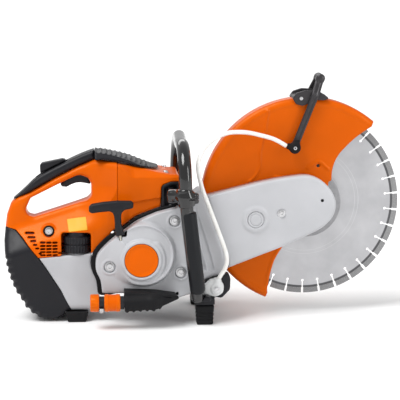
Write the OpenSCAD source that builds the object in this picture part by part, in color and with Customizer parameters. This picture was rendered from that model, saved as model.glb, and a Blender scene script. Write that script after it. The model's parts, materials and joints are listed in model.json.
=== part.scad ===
// Rescue saw: a petrol cut-off saw with a 350 mm diamond wheel, built as separate pieces.
// +X points to the cutting wheel, +Z is up, and the starter side faces -Y.
// The origin lies on the floor, under the middle of the whole saw.

/* [Cutting wheel] */
// Outer diameter of the wheel over its segments
wheel_d = 350; // [340:1:354]
// Diameter of the arbor that carries the wheel
arbor_d = 20; // [18:0.1:22]
// Thickness of the steel core
core_t = 3.2; // [2.8:0.1:4]
// Thickness of the diamond segments
segment_t = 4.2; // [4:0.1:5]
// Radial height of the diamond segments
segment_h = 10; // [8:1:12]
// Number of diamond segments
segment_count = 34; // [24:1:40]
// Width of the gap between two segments
segment_gap = 4.5; // [3:0.5:6]

/* [Layout] */
// Distance from the origin forward to the wheel spindle
spindle_x = 191; // [190:1:192]
// Height of the wheel spindle above the floor
spindle_z = 212; // [211:1:213]
// Distance from the origin forward to the crankshaft
crank_x = -117; // [-118:1:-116]
// Height of the crankshaft above the floor
crank_z = 122; // [121:1:123]

/* [Guard] */
// Outer radius of the wheel guard
guard_r = 195; // [193:1:196]
// Half of the outer width of the guard
guard_half_w = 22; // [21:0.5:22.5]
// Sheet thickness of the guard walls
guard_t = 2.5; // [2:0.5:3]

/* [Belt drive] */
// Outer radius of the pulley on the spindle
driven_r = 38.5; // [37:0.5:38.5]
// Outer radius of the pulley on the clutch drum
drive_r = 22; // [20:1:24]
// Width of both pulleys
pulley_w = 14; // [13:1:14]

/* [Handlebar] */
// Radius of the handlebar tube
bar_r = 12; // [10:0.5:12]
// Distance from the middle plane to each leg of the handlebar
bar_half_w = 126; // [124:1:128]
// Height of the middle of the tube along the top of the handlebar
bar_top_z = 326; // [320:1:330]

/* [Hidden] */

$fn = 48;
wheel_r = wheel_d / 2;
core_r = wheel_r - segment_h;
arbor_r = arbor_d / 2;
// Gap left between pieces that only lie near each other
clear = 0.3;
// Radial play of a running fit
running = 0.05;
wall = 3;
over = 1;

// Depth of each layer across the saw, from the starter side (-) to the fan side (+)
dome_face = -106;
starter_face = -90;
gasket_face = -68;
housing_face = -66;
belt_mid = -55;
back_plate = -44;
arm_back = -24;
case_half = 42;
body_half = 58;
tail_half = 60;
tail_wall = 3.5;
fan_face = 98;
fan_cover_face = 86;
// Middle of the fuel cap
cap_at = [-233, -36];
// Line along which the starter rope leaves the reel, and how far it leans back, in degrees
rope_y = -94.5;
rope_foot = [-151, 126];
rope_exit = [-155, 170];
rope_lean = 5.2;
grip_ends = [-44, 21.4];
rope_r = 2;
// Middle line of the water coupling, its outer radius and its bore
coupling_y = -120.5;
coupling_z = 49;
coupling_r = 16;
coupling_bore = 7;
tube_r = 12;
// Screws of the starter cover and of the fan housing
cover_screws = [[-174, 108], [-56, 191], [-45, 96]];
fan_screws = [[-172, 76], [-60, 200], [-52, 70], [-187, 128]];
handle_screw = [-284, 167];
// Belt tension nut, screw and inspection hole of the belt guard
tension_nut = [93, 188];
guard_screw = [140, 199];
guard_hole = [215, 222];
guard_hole_r = 3;
// Radii shared by the crankshaft, its bearings and what turns on it
shaft_r = 8;
crank_bearing_r = 17.5;
spindle_bearing_r = 21;
web_r = 34;
crank_throw = 17;
flange_r = 51;
foot_w = 30;

// The water hose's route, from the guard down to its fitting
hose_r = 4;
hose_route = [
    [151, -42, 320], [128, -46, 333], [102, -50, 341], [76, -56, 347], [49, -62, 348],
    [30, -68, 344], [14, -74, 336], [0, -79, 324], [-10, -84, 308], [-14, -88, 293],
    [-13, -90, 278], [-10, -91, 263], [-6, -92, 248], [0, -92, 232], [6, -92, 216],
    [15, -92, 192], [24, -92, 168], [31, -92, 149], [37, -92, 130], [38, -92, 115],
    [34, -92, 102], [27, -92, 91], [21, -92, 80],
];
// Middle line of the handlebar below its top arch, from each end up
bar_near = [[-14, -104, 50], [-17, -116, 72], [-21, -124, 105], [-25, -126, 138], [-34, -126, 216]];
bar_far = [[-43, 126, 240], [-50, 126, 190], [-54, 120, 158]];

// Outlines in the side view, as [x, z]
cover_line = [
    [-188, 60], [-191, 83], [-199, 103], [-197, 127], [-183, 145], [-165, 161], [-145, 175],
    [-122, 191], [-87, 206], [-53, 218], [-45, 215], [-25, 62], [-27, 56], [-51, 49], [-100, 52],
];
housing_line = [
    [-361, 174], [-360, 194], [-352, 218], [-345, 220], [-317, 234], [-275, 259], [-232, 281],
    [-198, 295], [-176, 294], [-158, 291], [-158, 177], [-169, 168], [-190, 144], [-206, 127],
    [-303, 121], [-328, 154], [-344, 170],
];
housing_body = [
    [-350, 173], [-330, 180], [-313, 185], [-208, 219], [-203, 228], [-202, 250], [-201, 293.5],
    [-176, 294], [-158, 291], [-158, 177], [-169, 168], [-190, 144], [-206, 127], [-303, 121],
    [-328, 154], [-344, 170],
];
housing_hollow = [
    [-326, 162], [-312, 181], [-206, 215], [-199, 226], [-196, 288], [-176, 288], [-150, 286],
    [-150, 180], [-172, 171], [-193, 148], [-208, 131], [-301, 125],
];
handle_hole = [
    [-327, 205], [-326, 214], [-317, 224], [-265, 250], [-240, 262], [-227, 267], [-212, 262],
    [-206, 252], [-206, 229], [-210, 222], [-313, 190], [-322, 194],
];
tail_line = [
    [-361, 173], [-345, 169], [-329, 153], [-304, 119], [-291, 101], [-264, 58], [-242, 20],
    [-256, 19.5], [-256, 4], [-295, 4], [-312, 11], [-328, 26], [-336, 41], [-347, 58],
    [-355, 79], [-362, 102], [-365, 131], [-366, 148], [-365, 165],
];
tank_line = [
    [-302, 119.5], [-206, 126.5], [-208, 110], [-204, 95], [-196, 78], [-193, 64], [-192, 20],
    [-240.5, 20], [-263, 58.5], [-290, 102],
];
shroud_line = [
    [-157.5, 290.5], [-147, 287.5], [-123, 283.5], [-88, 275.5], [-62, 271], [-48, 272],
    [-44, 262], [-44, 226], [-52, 222], [-84, 210], [-125, 195], [-146, 180], [-157.5, 172],
];
arm_line = [
    [4, 232], [49, 242], [107, 258], [165, 266], [189, 268], [212, 259], [230, 240], [236, 217],
    [232, 196], [219, 176.5], [192, 162.5], [166, 152], [140, 139], [108, 126], [43, 98.5],
    [42, 112], [27, 159], [12, 200],
];
mid_line = [
    [-26, 58], [0, 80], [30, 90], [41.5, 97.5], [40, 112], [25, 159], [10, 200], [-3, 246],
    [-12, 250], [-30, 236], [-44, 216],
];

// ---- Helpers ----

// A flat outline in the side view, made solid from depth y0 to depth y1
module slab(y0, y1) {
    translate([0, y1, 0]) rotate([90, 0, 0]) linear_extrude(y1 - y0) children();
}

module side_plate(points, y0, y1) {
    slab(y0, y1) polygon(points);
}

// A round bar across the saw
module cross_bar(x, z, y0, y1, r) {
    translate([x, y1, z]) rotate([90, 0, 0]) cylinder(h = y1 - y0, r = r);
}

// A shape turned about an axis across the saw; its profile is [radius, depth] pairs
module turned(x, z, profile) {
    translate([x, 0, z]) rotate([-90, 0, 0]) rotate_extrude($fn = 96) polygon(profile);
}

function unit(v) = v / norm(v);
function tangent(p, i) = unit(p[min(i + 1, len(p) - 1)] - p[max(i - 1, 0)]);
function side_of(t) = unit(cross(t, abs(t[1]) < 0.9 ? [0, 1, 0] : [1, 0, 0]));
function ring_at(p, i, r, sides) =
    let (t = tangent(p, i), u = side_of(t), v = cross(t, u))
    [for (k = [0:sides - 1]) p[i] + r * (cos(360 * k / sides) * u + sin(360 * k / sides) * v)];

// A tube swept along a route of points
module swept_tube(route, r, sides) {
    n = len(route);
    points = [for (i = [0:n - 1]) each ring_at(route, i, r, sides)];
    walls = [
        for (i = [0:n - 2], k = [0:sides - 1])
            let (a = i * sides + k, b = i * sides + (k + 1) % sides)
            [a, a + sides, b + sides, b]
    ];
    ends = [[for (k = [0:sides - 1]) k], [for (k = [sides - 1:-1:0]) (n - 1) * sides + k]];
    polyhedron(points, concat(walls, ends), convexity = 10);
}

function arc(cx, cz, r, from, to, steps) =
    [for (i = [0:steps]) let (a = from + (to - from) * i / steps) [cx + r * cos(a), cz + r * sin(a)]];

// ---- Rear handle and tank ----

module rear_housing() color("darkorange") difference() {
    union() {
        side_plate(housing_line, -19, 19);
        side_plate(housing_body, -body_half, body_half);
    }
    side_plate(handle_hole, -body_half - over, body_half + over);
    side_plate(housing_hollow, -body_half + wall, body_half - wall);
    // Slot that the throttle trigger swings up into
    side_plate([[-272, 245], [-264, 261], [-228, 277], [-203, 268], [-203, 240]], -11, 11);
    // Pocket round the fuel cap
    translate([-262, -body_half - over, 110]) cube([57, 54, 62]);
    // Hole of the handle screw
    cross_bar(handle_screw[0], handle_screw[1], -body_half - over, -body_half + wall + over, 8);
    // Air inlet slots
    for (row = [0:3], column = [0:3 - row * 0.5])
        translate([-318 + row * 7 + column * 10, -body_half - over, 152 - row * 8])
            cube([7, wall + 2 * over, 3]);
}

module grip_cover() color("dimgray") difference() {
    side_plate([
        [-350, 222], [-326, 242], [-300, 265], [-252, 290], [-215, 307], [-200, 313],
        [-198, 295.5], [-232, 281.5], [-275, 259.5], [-317, 234.5], [-345, 220.5],
    ], -20, 20);
    // Pocket that the lockout lever is pressed into
    side_plate([[-306, 256], [-306, 300], [-248, 300], [-248, 283]], -11, 11);
}

filter_top = [[-199, 312.5], [-184, 307], [-153, 301], [-131, 295], [-105, 284], [-88, 277.5]];

module filter_cover() color("dimgray") {
    side_plate(concat(filter_top, [
        [-88, 276.5], [-123, 285.2], [-147, 289.6], [-176, 294.8], [-197, 295.8],
    ]), -48, 48);
    // Ribs across the cover
    for (x = [-190:13:-99]) let (za = lookup(x, filter_top), zb = lookup(x + 7, filter_top))
        side_plate([[x, za - 1], [x + 7, zb - 1], [x + 6, zb + 2.5], [x + 1, za + 2.5]], -44, 44);
}

module tail_guard() color("dimgray") difference() {
    side_plate(tail_line, -tail_half, tail_half);
    slab(-tail_half + tail_wall, tail_half - tail_wall) offset(delta = -tail_wall) polygon(tail_line);
}

module fuel_tank() color("gainsboro") {
    difference() {
        side_plate(tank_line, -body_half, body_half);
        slab(-body_half + wall, body_half - wall) offset(delta = -tail_wall) polygon(tank_line);
        translate([cap_at[0], cap_at[1], 100]) cylinder(h = 40, r = 13);
    }
    // Threaded neck under the fuel cap
    translate([cap_at[0], cap_at[1], 121]) difference() {
        cylinder(h = 22, r = 17);
        translate([0, 0, -over]) cylinder(h = 24, r = 13);
    }
}

module fuel_cap() color("black") translate([cap_at[0], cap_at[1], 0]) difference() {
    union() {
        translate([0, 0, 127]) cylinder(h = 34, r = 24);
        translate([0, 0, 161]) cylinder(h = 6, r1 = 24, r2 = 20);
    }
    translate([0, 0, 126]) cylinder(h = 20, r = 17.5);
    for (i = [0:23]) rotate(i * 15) translate([24.8, 0, 130]) cylinder(h = 28, r = 1.8);
}

module rear_feet() color("black") for (y = [-60, 34])
    side_plate([[-255, 19.5], [-213, 19.5], [-218, 0], [-251, 0]], y, y + 26);

module throttle_trigger() color("black") side_plate([
    [-264, 246], [-258, 251], [-240, 260], [-227, 264], [-214, 262], [-209, 256], [-209, 246],
    [-216, 248], [-233, 250], [-250, 243], [-258, 241.5],
], -9, 9);

module trigger_lockout() color("black") side_plate([
    [-299, 268.5], [-299, 283], [-296, 287], [-258, 295], [-252, 293.5], [-252, 291.5],
], -9.5, 9.5);

// ---- Engine covers ----

module engine_shroud() color("darkorange") difference() {
    side_plate(shroud_line, -body_half, body_half);
    slab(-body_half + wall, body_half - wall) offset(delta = -wall) polygon(shroud_line);
    // Open towards the rear housing and the crankcase
    translate([-170, -body_half + wall, 160]) cube([123, 2 * (body_half - wall), 66]);
    translate([-170, -body_half + wall, 200]) cube([40, 2 * (body_half - wall), 82]);
    // Recess of the handlebar mount
    translate([-78, -body_half - over, 205]) cube([40, wall + 2 * over, 52]);
    // Hole over the spark plug
    translate([crank_x, 0, 270]) cylinder(h = 30, r = 11);
}

module screw_head(x, z, face, r) {
    difference() {
        cross_bar(x, z, face, face + 5, r);
        translate([x, face + 2, z]) rotate([90, 0, 0]) cylinder(h = 3, r = r * 0.5, $fn = 6);
    }
}

module machine_screws() color("silver") {
    screw_head(handle_screw[0], handle_screw[1], -60.5, 6.5);
    for (y = [-40, 40]) translate([-70, y, 273.6]) cylinder(h = 4, r = 5);
    for (at = fan_screws) cross_bar(at[0], at[1], fan_cover_face + 0.05, fan_cover_face + 4, 5);
}

module starter_cover() color("gainsboro") difference() {
    union() {
        side_plate(cover_line, starter_face, gasket_face);
        turned(crank_x, crank_z, [
            [0, dome_face], [56, dome_face], [62, -102], [64, -96], [64, -86], [0, -86],
        ]);
    }
    slab(starter_face + wall, gasket_face + over) offset(delta = -wall) polygon(cover_line);
    turned(crank_x, crank_z, [[0, -103], [55, -103], [60, -96], [60, -80], [0, -80]]);
    // Rope exit beside the grip
    translate([rope_foot[0], rope_y, rope_foot[1]]) rotate([0, -rope_lean, 0]) cylinder(h = 60, r = 3);
    translate([-166, -103, 168.8]) cube([24, 17, 30]);
    // Recess of the rear screw
    cross_bar(cover_screws[0][0], cover_screws[0][1], -110, starter_face, 9);
    // Cooling slots below the dome
    for (i = [0:4]) translate([-100 + i * 9, starter_face - over, 64]) cube([4, 5, 14]);
}

module starter_badge() color("darkorange")
    turned(crank_x, crank_z, [[0, -109], [29, -109], [31, -107.5], [31, -106.05], [0, -106.05]]);

module starter_screws() color("silver") for (at = cover_screws)
    screw_head(at[0], at[1], starter_face - 5.1, 7);

module cover_gasket() color("black") slab(gasket_face + 0.05, housing_face - 0.05) difference() {
    offset(r = 8) polygon(cover_line);
    offset(delta = -6) polygon(cover_line);
    offset(delta = clear) polygon(mid_line);
    translate([-20.3, 40]) square(30);
}

module recoil_spring() color("dimgray") slab(-102.5, -99.8) for (turn = [0:4])
    translate([crank_x, crank_z]) difference() {
        circle(r = 30 - turn * 4);
        circle(r = 29.2 - turn * 4);
    }

module rope_reel() color("white") difference() {
    turned(crank_x, crank_z, [
        [8.4, -99.3], [37, -99.3], [37, -97.6], [31, -97.6], [31, -91.6], [37, -91.6],
        [37, -89.8], [8.4, -89.8],
    ]);
    for (i = [0:5]) translate([crank_x, 0, crank_z]) rotate([0, 60 * i, 0])
        translate([20, -89, 0]) rotate([90, 0, 0]) cylinder(h = 12, r = 5);
}

module starter_rope() color("ivory") swept_tube([
    [rope_foot[0], rope_y, rope_foot[1] + 16], [rope_exit[0], rope_y, rope_exit[1]],
    [-156.5, rope_y, 186], [-157.6, rope_y, 198],
], rope_r, 8);

// T grip; its crossbar reaches further back than forward
module starter_grip() color("black") translate([rope_exit[0], rope_y, rope_exit[1]])
    rotate([0, -rope_lean, 0]) difference() {
        union() {
            cylinder(h = 46, r1 = 7.5, r2 = 8);
            translate([grip_ends[0], 0, 47]) rotate([0, 90, 0])
                cylinder(h = grip_ends[1] - grip_ends[0], r = 7);
            for (x = grip_ends) translate([x, 0, 47]) sphere(r = 7);
        }
        translate([0, 0, -over]) cylinder(h = 40, r = 3);
    }

// ---- Belt side ----

module belt_housing() color("gainsboro") difference() {
    union() {
        side_plate(cover_line, housing_face, back_plate + clear);
        side_plate(mid_line, -80, back_plate + clear);
    }
    slab(housing_face - over, back_plate - wall) offset(delta = -wall) polygon(cover_line);
    slab(-80 + wall, back_plate - wall) offset(delta = -wall) polygon(mid_line);
    // Windows that the belt passes through on its way to the arm
    translate([-60, housing_face + 2, 105]) cube([120, 19, 122]);
    // Hole of the crankshaft
    cross_bar(crank_x, crank_z, back_plate - 20, back_plate + over, 14);
    // Seat of the starter cover
    side_plate([
        [-60, 40], [-60, 230], [-44.8, 220], [-42, 214], [-24.4, 60], [-26, 40],
    ], -100, housing_face);
}

module arm_casting() color("silver") difference() {
    union() {
        slab(-42, arm_back) offset(delta = -2) polygon(arm_line);
        cross_bar(spindle_x, spindle_z, arm_back - over, -12.5, 30);
        // Foot bolted to the crankcase
        side_plate([[-66, 100], [-66, 200], [10, 222], [30, 190], [38, 110]], -42, -27);
    }
    cross_bar(spindle_x, spindle_z, -40, -16, 21);
    cross_bar(spindle_x, spindle_z, -50, 0, 13);
    // Lightening pockets in the back
    for (x = [70, 105, 140]) translate([x, -31, 150 + (x - 70) * 0.3]) cube([26, 10, 70]);
}

module belt_guard() color("gainsboro") difference() {
    side_plate(arm_line, gasket_face, -43);
    slab(gasket_face + wall, -42) offset(delta = -2.2) polygon(arm_line);
    // Open towards the belt housing
    translate([-10, housing_face + 2, 105]) cube([70, 40, 122]);
    for (hole = [[tension_nut, 8], [guard_screw, 4.2], [guard_hole, guard_hole_r]])
        cross_bar(hole[0][0], hole[0][1], gasket_face - over, gasket_face + wall + over, hole[1]);
}

// The belt tension nut and the screw beside it, both on the belt guard
module tension_fasteners() color("silver") {
    cross_bar(tension_nut[0], tension_nut[1], -75, gasket_face - 0.05, 15.5);
    cross_bar(tension_nut[0], tension_nut[1], gasket_face - 0.1, -42.05, 7.5);
    translate([tension_nut[0], -75, tension_nut[1]]) rotate([90, 0, 0]) cylinder(h = 4, r = 11, $fn = 6);
    screw_head(guard_screw[0], guard_screw[1], gasket_face - 5.1, 7.5);
    cross_bar(guard_screw[0], guard_screw[1], gasket_face - over, -42.05, 3.9);
}

// A belt ring round both pulleys
module belt_line(grow) {
    drive = [crank_x, crank_z];
    driven = [spindle_x, spindle_z];
    hull() {
        translate(drive) circle(r = drive_r - 3 + grow, $fn = 48);
        translate(driven) circle(r = driven_r - 3 + grow, $fn = 64);
    }
}

module v_belt() color("black") slab(belt_mid - 4, belt_mid + 4) difference() {
    belt_line(4);
    belt_line(0);
}

function pulley_profile(r, bore, y0) = [
    [bore, y0], [r, y0], [r, y0 + 2], [r - 8, y0 + 4.5], [r - 8, y0 + pulley_w - 4.5],
    [r, y0 + pulley_w - 2], [r, y0 + pulley_w], [bore, y0 + pulley_w],
];

module driven_pulley() color("silver") difference() {
    turned(spindle_x, spindle_z, pulley_profile(driven_r - 1.5, arbor_r, belt_mid - pulley_w / 2));
    for (i = [0:4]) translate([spindle_x, 0, spindle_z]) rotate([0, 72 * i, 0])
        translate([20, -40, 0]) rotate([90, 0, 0]) cylinder(h = 30, r = 6);
}

module clutch_drum() color("silver") turned(crank_x, crank_z, [
    [shaft_r + running, -64], [shaft_r + running, -48], [drive_r - 1.5, -48], [drive_r - 1.5, -50],
    [drive_r - 8, -52.5], [drive_r - 8, -57.5], [drive_r - 1.5, -60], [drive_r - 1.5, -62],
    [36, -62], [36, -85], [33, -85], [33, -65.5], [12, -65.5], [12, -64],
]);

module clutch_shoes() color("dimgray") difference() {
    turned(crank_x, crank_z, [[shaft_r, -84], [31, -84], [31, -68], [shaft_r, -68]]);
    for (i = [0:2]) translate([crank_x, 0, crank_z]) rotate([0, 120 * i, 0])
        translate([14, -86, -1.5]) cube([20, 20, 3]);
}

module spindle_shaft() color("silver") turned(spindle_x, spindle_z, [
    [0, -64], [arbor_r - 0.01, -64], [arbor_r - 0.01, 11], [5.1, 11], [5.1, -8], [0, -8],
]);

// Bearings are rings: two on the spindle and two on the crankshaft
module bearing(x, z, y0, y1, bore, r) {
    turned(x, z, [[bore, y0], [r, y0], [r, y1], [bore, y1]]);
}

module ball_bearings() color("silver") {
    for (y = [-39.9, -26])
        bearing(spindle_x, spindle_z, y, y + 9.8, arbor_r + running, spindle_bearing_r - 0.02);
    for (y = [-41.5, 32.5])
        bearing(crank_x, crank_z, y, y + 9, shaft_r + running, crank_bearing_r - 0.02);
}

// ---- Cutting wheel ----

module wheel_flanges() color("silver") {
    turned(spindle_x, spindle_z, [
        [arbor_r, -11.5], [24, -11.5], [30, -6], [flange_r, -4], [flange_r, -core_t / 2 - 0.02],
        [arbor_r, -core_t / 2 - 0.02],
    ]);
    turned(spindle_x, spindle_z, [
        [arbor_r, core_t / 2 + 0.02], [flange_r, core_t / 2 + 0.02], [flange_r, 4], [30, 7], [24, 10.5],
        [arbor_r, 10.5],
    ]);
}

module wheel_bolt() color("silver") {
    turned(spindle_x, spindle_z, [[0, -7.5], [5, -7.5], [5, 11.1], [16, 11.1], [16, 14], [0, 14]]);
    translate([spindle_x, 22, spindle_z]) rotate([90, 0, 0]) cylinder(h = 8.5, r = 10, $fn = 6);
}

// Angles of the gaps between segments; the first one is turned by first_gap of a pitch
first_gap = 0.415;
gap_angles = [for (i = [0:segment_count - 1]) (i + first_gap) * 360 / segment_count];
slot_depth = 13;

// Puts its children, drawn flat, in the wheel's plane
module at_spindle() {
    translate([spindle_x, 0, spindle_z]) rotate([90, 0, 0]) children();
}

module wheel_core() color("lightgray") at_spindle() difference() {
    cylinder(h = core_t, r = core_r, center = true, $fn = 180);
    cylinder(h = core_t + 2, r = arbor_r, center = true);
    for (angle = gap_angles) rotate(angle) {
        translate([core_r - slot_depth, -1.25, -core_t]) cube([20, 2.5, 2 * core_t]);
        translate([core_r - slot_depth, 0, 0]) cylinder(h = 2 * core_t, r = 2.6, center = true, $fn = 24);
    }
}

module wheel_segments() color("gray") at_spindle() difference() {
    cylinder(h = segment_t, r = wheel_r, center = true, $fn = 180);
    cylinder(h = segment_t + 2, r = core_r + 0.02, center = true, $fn = 180);
    for (angle = gap_angles) rotate(angle)
        translate([core_r - 5, -segment_gap / 2, -segment_t]) cube([25, segment_gap, 2 * segment_t]);
}

// ---- Wheel guard ----

guard_front = 50;
guard_rear = 248;
guard_hub_r = 65;
guard_edge = [[315, 357], [292, 340], [271, 324], [254, 304], [244, 287], [239, 269], [238, 251]];
guard_tail = [[146, 126], [134, 105], [125, 78], [121, 58]];

module guard_outline() {
    polygon(concat(
        arc(spindle_x, spindle_z, guard_r, guard_rear, guard_front, 48), guard_edge,
        [[spindle_x, spindle_z]], guard_tail
    ));
}

module guard_shell() color("darkorange") difference() {
    union() {
        slab(-guard_half_w, -guard_half_w + guard_t) guard_outline();
        cross_bar(spindle_x, spindle_z, -guard_half_w, -guard_half_w + guard_t, guard_hub_r);
        slab(guard_half_w - guard_t, guard_half_w) difference() {
            guard_outline();
            translate([spindle_x, spindle_z]) circle(r = 80);
        }
        slab(-guard_half_w + over, guard_half_w - over) polygon(concat(
            arc(spindle_x, spindle_z, guard_r - 0.01, guard_rear, guard_front, 48),
            arc(spindle_x, spindle_z, guard_r - guard_t, guard_front, guard_rear, 48)
        ));
    }
    cross_bar(spindle_x, spindle_z, -30, -10, 30 + 2 * running);
}

// Eye and top end of the adjusting handle, in the side view
lever_eye = [167, 316];
lever_top = [216.5, 441];

// One side bar of the U-shaped adjusting handle, standing off the guard wall
module lever_leg(y0, y1) {
    along = lever_top - lever_eye;
    slab(y0, y1) {
        translate(lever_eye) circle(r = 8.5);
        translate(lever_eye) rotate(atan2(along[1], along[0])) translate([0, -6.5]) square([norm(along), 13]);
        translate(lever_top) circle(r = 7);
    }
}

module guard_lever() color("dimgray") difference() {
    union() {
        lever_leg(-36, -28);
        lever_leg(28, 36);
        cross_bar(lever_top[0], lever_top[1], -28.5, 28.5, 6);
    }
    for (y = [-40, 20]) cross_bar(lever_eye[0], lever_eye[1], y, y + 20, 3.1);
}

// Saddle plates on the rim, standoffs, bolts and the spray nozzle
module guard_fittings() color("dimgray") {
    for (side = [0, 1]) mirror([0, side, 0]) {
        side_plate([
            [164, 402], [170, 416], [196, 421], [222, 414], [229, 403], [224, 392], [180, 392],
        ], guard_half_w + 0.05, 27.8);
        cross_bar(178, 406, 27.7, 31, 5);
        cross_bar(lever_eye[0], lever_eye[1], guard_half_w + 0.05, 27.9, 9);
        cross_bar(lever_eye[0], lever_eye[1], 27.8, 40, 3);
    }
    cross_bar(lever_eye[0], lever_eye[1], -46, -39.9, 7.5);
    translate([lever_eye[0], -43, lever_eye[1]]) rotate([0, -75, 0]) cylinder(h = 14, r = 5);
    side_plate(concat(
        arc(spindle_x, spindle_z, guard_r + 4, 98, 80, 8),
        arc(spindle_x, spindle_z, guard_r + 0.1, 80, 98, 8)
    ), -27.7, 27.7);
}

// ---- Engine ----

module crankcase() color("silver") difference() {
    union() {
        cross_bar(crank_x, crank_z, -case_half, case_half, 47);
        translate([crank_x - 36, -36, crank_z]) cube([72, 72, 43]);
        translate([crank_x - 46, -40, 72]) cube([92, 80, 26]);
        // Boss that the arm and the front bracket are bolted to
        translate([-72, -26, 60]) cube([60, 60, 100]);
    }
    cross_bar(crank_x, crank_z, -31, 31, 38);
    cross_bar(crank_x, crank_z, -50, 50, 12);
    for (y = [-50, 32]) cross_bar(crank_x, crank_z, y, y + 18, crank_bearing_r);
    translate([crank_x, 0, crank_z]) cylinder(h = 60, r = 21);
    translate([-64, -18, 70]) cube([44, 44, 100]);
}

cylinder_foot = 169.3;
cylinder_bore = 20;
fin_pitch = 8.5;

module engine_cylinder() color("silver") translate([crank_x, 0, 0]) difference() {
    union() {
        translate([0, 0, cylinder_foot]) cylinder(h = 76, r = 26);
        translate([0, 0, 245]) cylinder(h = 12, r1 = 26, r2 = 18);
        translate([-34, -34, cylinder_foot]) cube([68, 68, 3]);
        for (i = [0:8]) translate([0, 0, 172 + i * fin_pitch]) cylinder(h = 2.4, r = 37);
    }
    translate([0, 0, 160]) cylinder(h = 78, r = cylinder_bore);
    translate([0, 0, 230]) cylinder(h = 40, r = 6);
}

module piston() color("silver") translate([crank_x, 0, 0]) difference() {
    translate([0, 0, 194]) cylinder(h = 34, r = cylinder_bore - 0.1);
    translate([0, 0, 193]) cylinder(h = 26, r = 16);
    for (z = [216, 221]) translate([0, 0, z]) difference() {
        cylinder(h = 1.6, r = 21);
        translate([0, 0, -1]) cylinder(h = 4, r = 18.2);
    }
}

// The eye at the foot is larger than the crank pin's circle, so that the crank can turn inside it
module connecting_rod() color("gray") difference() {
    union() {
        cross_bar(crank_x, crank_z, -5, 5, 31);
        translate([crank_x - 5, -4, crank_z + 28]) cube([10, 8, 55]);
        cross_bar(crank_x, 206, -7, 7, 8);
    }
    cross_bar(crank_x, crank_z, -6, 6, 26);
    cross_bar(crank_x, 206, -8, 8, 4);
}

module spark_plug() color("white") translate([crank_x, 0, 0]) {
    translate([0, 0, 239]) cylinder(h = 18, r = 5.9);
    translate([0, 0, 257.1]) cylinder(h = 5, r = 9, $fn = 6);
    translate([0, 0, 262]) cylinder(h = 16, r = 6);
}

module carburettor() color("silver") difference() {
    union() {
        translate([-191, -20, 186]) cube([26, 40, 36]);
        translate([-165.5, 0, 204]) rotate([0, 90, 0]) cylinder(h = 11, r = 13);
        translate([-191, 0, 204]) rotate([0, -90, 0]) cylinder(h = 3, r = 15);
    }
    translate([-200, 0, 204]) rotate([0, 90, 0]) cylinder(h = 60, r = 8);
}

// A row of filter pleats
module air_filter() color("white") for (i = [0:6])
    translate([-193, -45 + i * 13, 232]) cube([30, 11, 50]);

module muffler() color("dimgray") difference() {
    translate([-78, -38, 214]) cube([26, 76, 44]);
    translate([-76, -36, 216]) cube([22, 72, 40]);
}

module crankshaft() color("silver") {
    for (y = [-88, 30]) cross_bar(crank_x, crank_z, y, y + 58, shaft_r - 0.01);
    for (y = [-30, 8]) cross_bar(crank_x, crank_z, y, y + 22, web_r);
    cross_bar(crank_x, crank_z + crank_throw, -9, 9, 7);
}

module flywheel() color("silver") difference() {
    union() {
        turned(crank_x, crank_z, [
            [shaft_r, 54], [20, 54], [20, 60], [52, 60], [52, 66], [20, 66], [20, 76], [shaft_r, 76],
        ]);
        for (i = [0:15]) translate([crank_x, 0, crank_z]) rotate([0, 22.5 * i, 0])
            translate([24, 65, -1.2]) cube([27, 14, 2.4]);
    }
    cross_bar(crank_x, crank_z, 40, 90, shaft_r);
}

module fan_housing() color("gainsboro") difference() {
    union() {
        side_plate(cover_line, 46, fan_cover_face);
        turned(crank_x, crank_z, [[0, 85], [64, 85], [64, 92], [60, fan_face], [0, fan_face]]);
    }
    slab(45, fan_cover_face - wall) offset(delta = -wall) polygon(cover_line);
    turned(crank_x, crank_z, [
        [0, 80], [60, 80], [60, 90], [57, fan_face - wall], [0, fan_face - wall],
    ]);
    for (i = [0:23]) translate([crank_x, 0, crank_z]) rotate([0, 15 * i, 0])
        translate([24, 90, -1.8]) cube([28, 20, 3.6]);
}

// ---- Handlebar and front support ----

// Radius of the two upper bends, and how the arch starts just above each leg
bend_r = 60;
bend_y = bar_half_w - bend_r;
bend_z = bar_top_z - bend_r;
bar_arch = [
    for (i = [0:8]) let (a = 180 - i * 11.25)
        [-39 - i * 0.3, -bend_y + bend_r * cos(a), bend_z + bend_r * sin(a)],
    for (y = [-40, -13, 13, 40]) [-41 + y * 0.03, y, bar_top_z],
    for (i = [0:8]) let (a = 90 - i * 11.25)
        [-39 - i * 0.3, bend_y + bend_r * cos(a), bend_z + bend_r * sin(a)],
];

module handlebar() color("black") swept_tube(concat(bar_near, bar_arch, bar_far), bar_r, 20);

// The handlebar's near leg with a little clearance, cut out of what is clamped round it
module near_leg_hole() swept_tube(concat(bar_near, bar_arch), bar_r + 0.15, 20);

module handlebar_sleeve() color("dimgray") difference() {
    swept_tube([[-18, -119.5, 80], [-21, -124, 105], [-25, -126, 138], [-31.5, -126, 194]], bar_r + 1.8, 20);
    near_leg_hole();
}

module handlebar_clamp() color("black") difference() {
    union() {
        translate([-34.5, -125, 220]) rotate([0, -5.7, 0]) cylinder(h = 32, r = 16);
        translate([-66, -127, 228]) cube([30, 16, 20]);
        translate([-66, -112, 228]) cube([18, 53, 20]);
    }
    near_leg_hole();
}

module av_buffers() color("black") {
    translate([-58, -58.7, 238]) rotate([-90, 0, 0]) cylinder(h = 18, r = 9);
    translate([-54, 98.3, 150]) rotate([-90, 0, 0]) cylinder(h = 9, r = 12);
    for (y = [-25, 25]) translate([-194.3, y, 84]) rotate([0, 90, 0]) cylinder(h = 31, r = 10);
}

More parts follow.
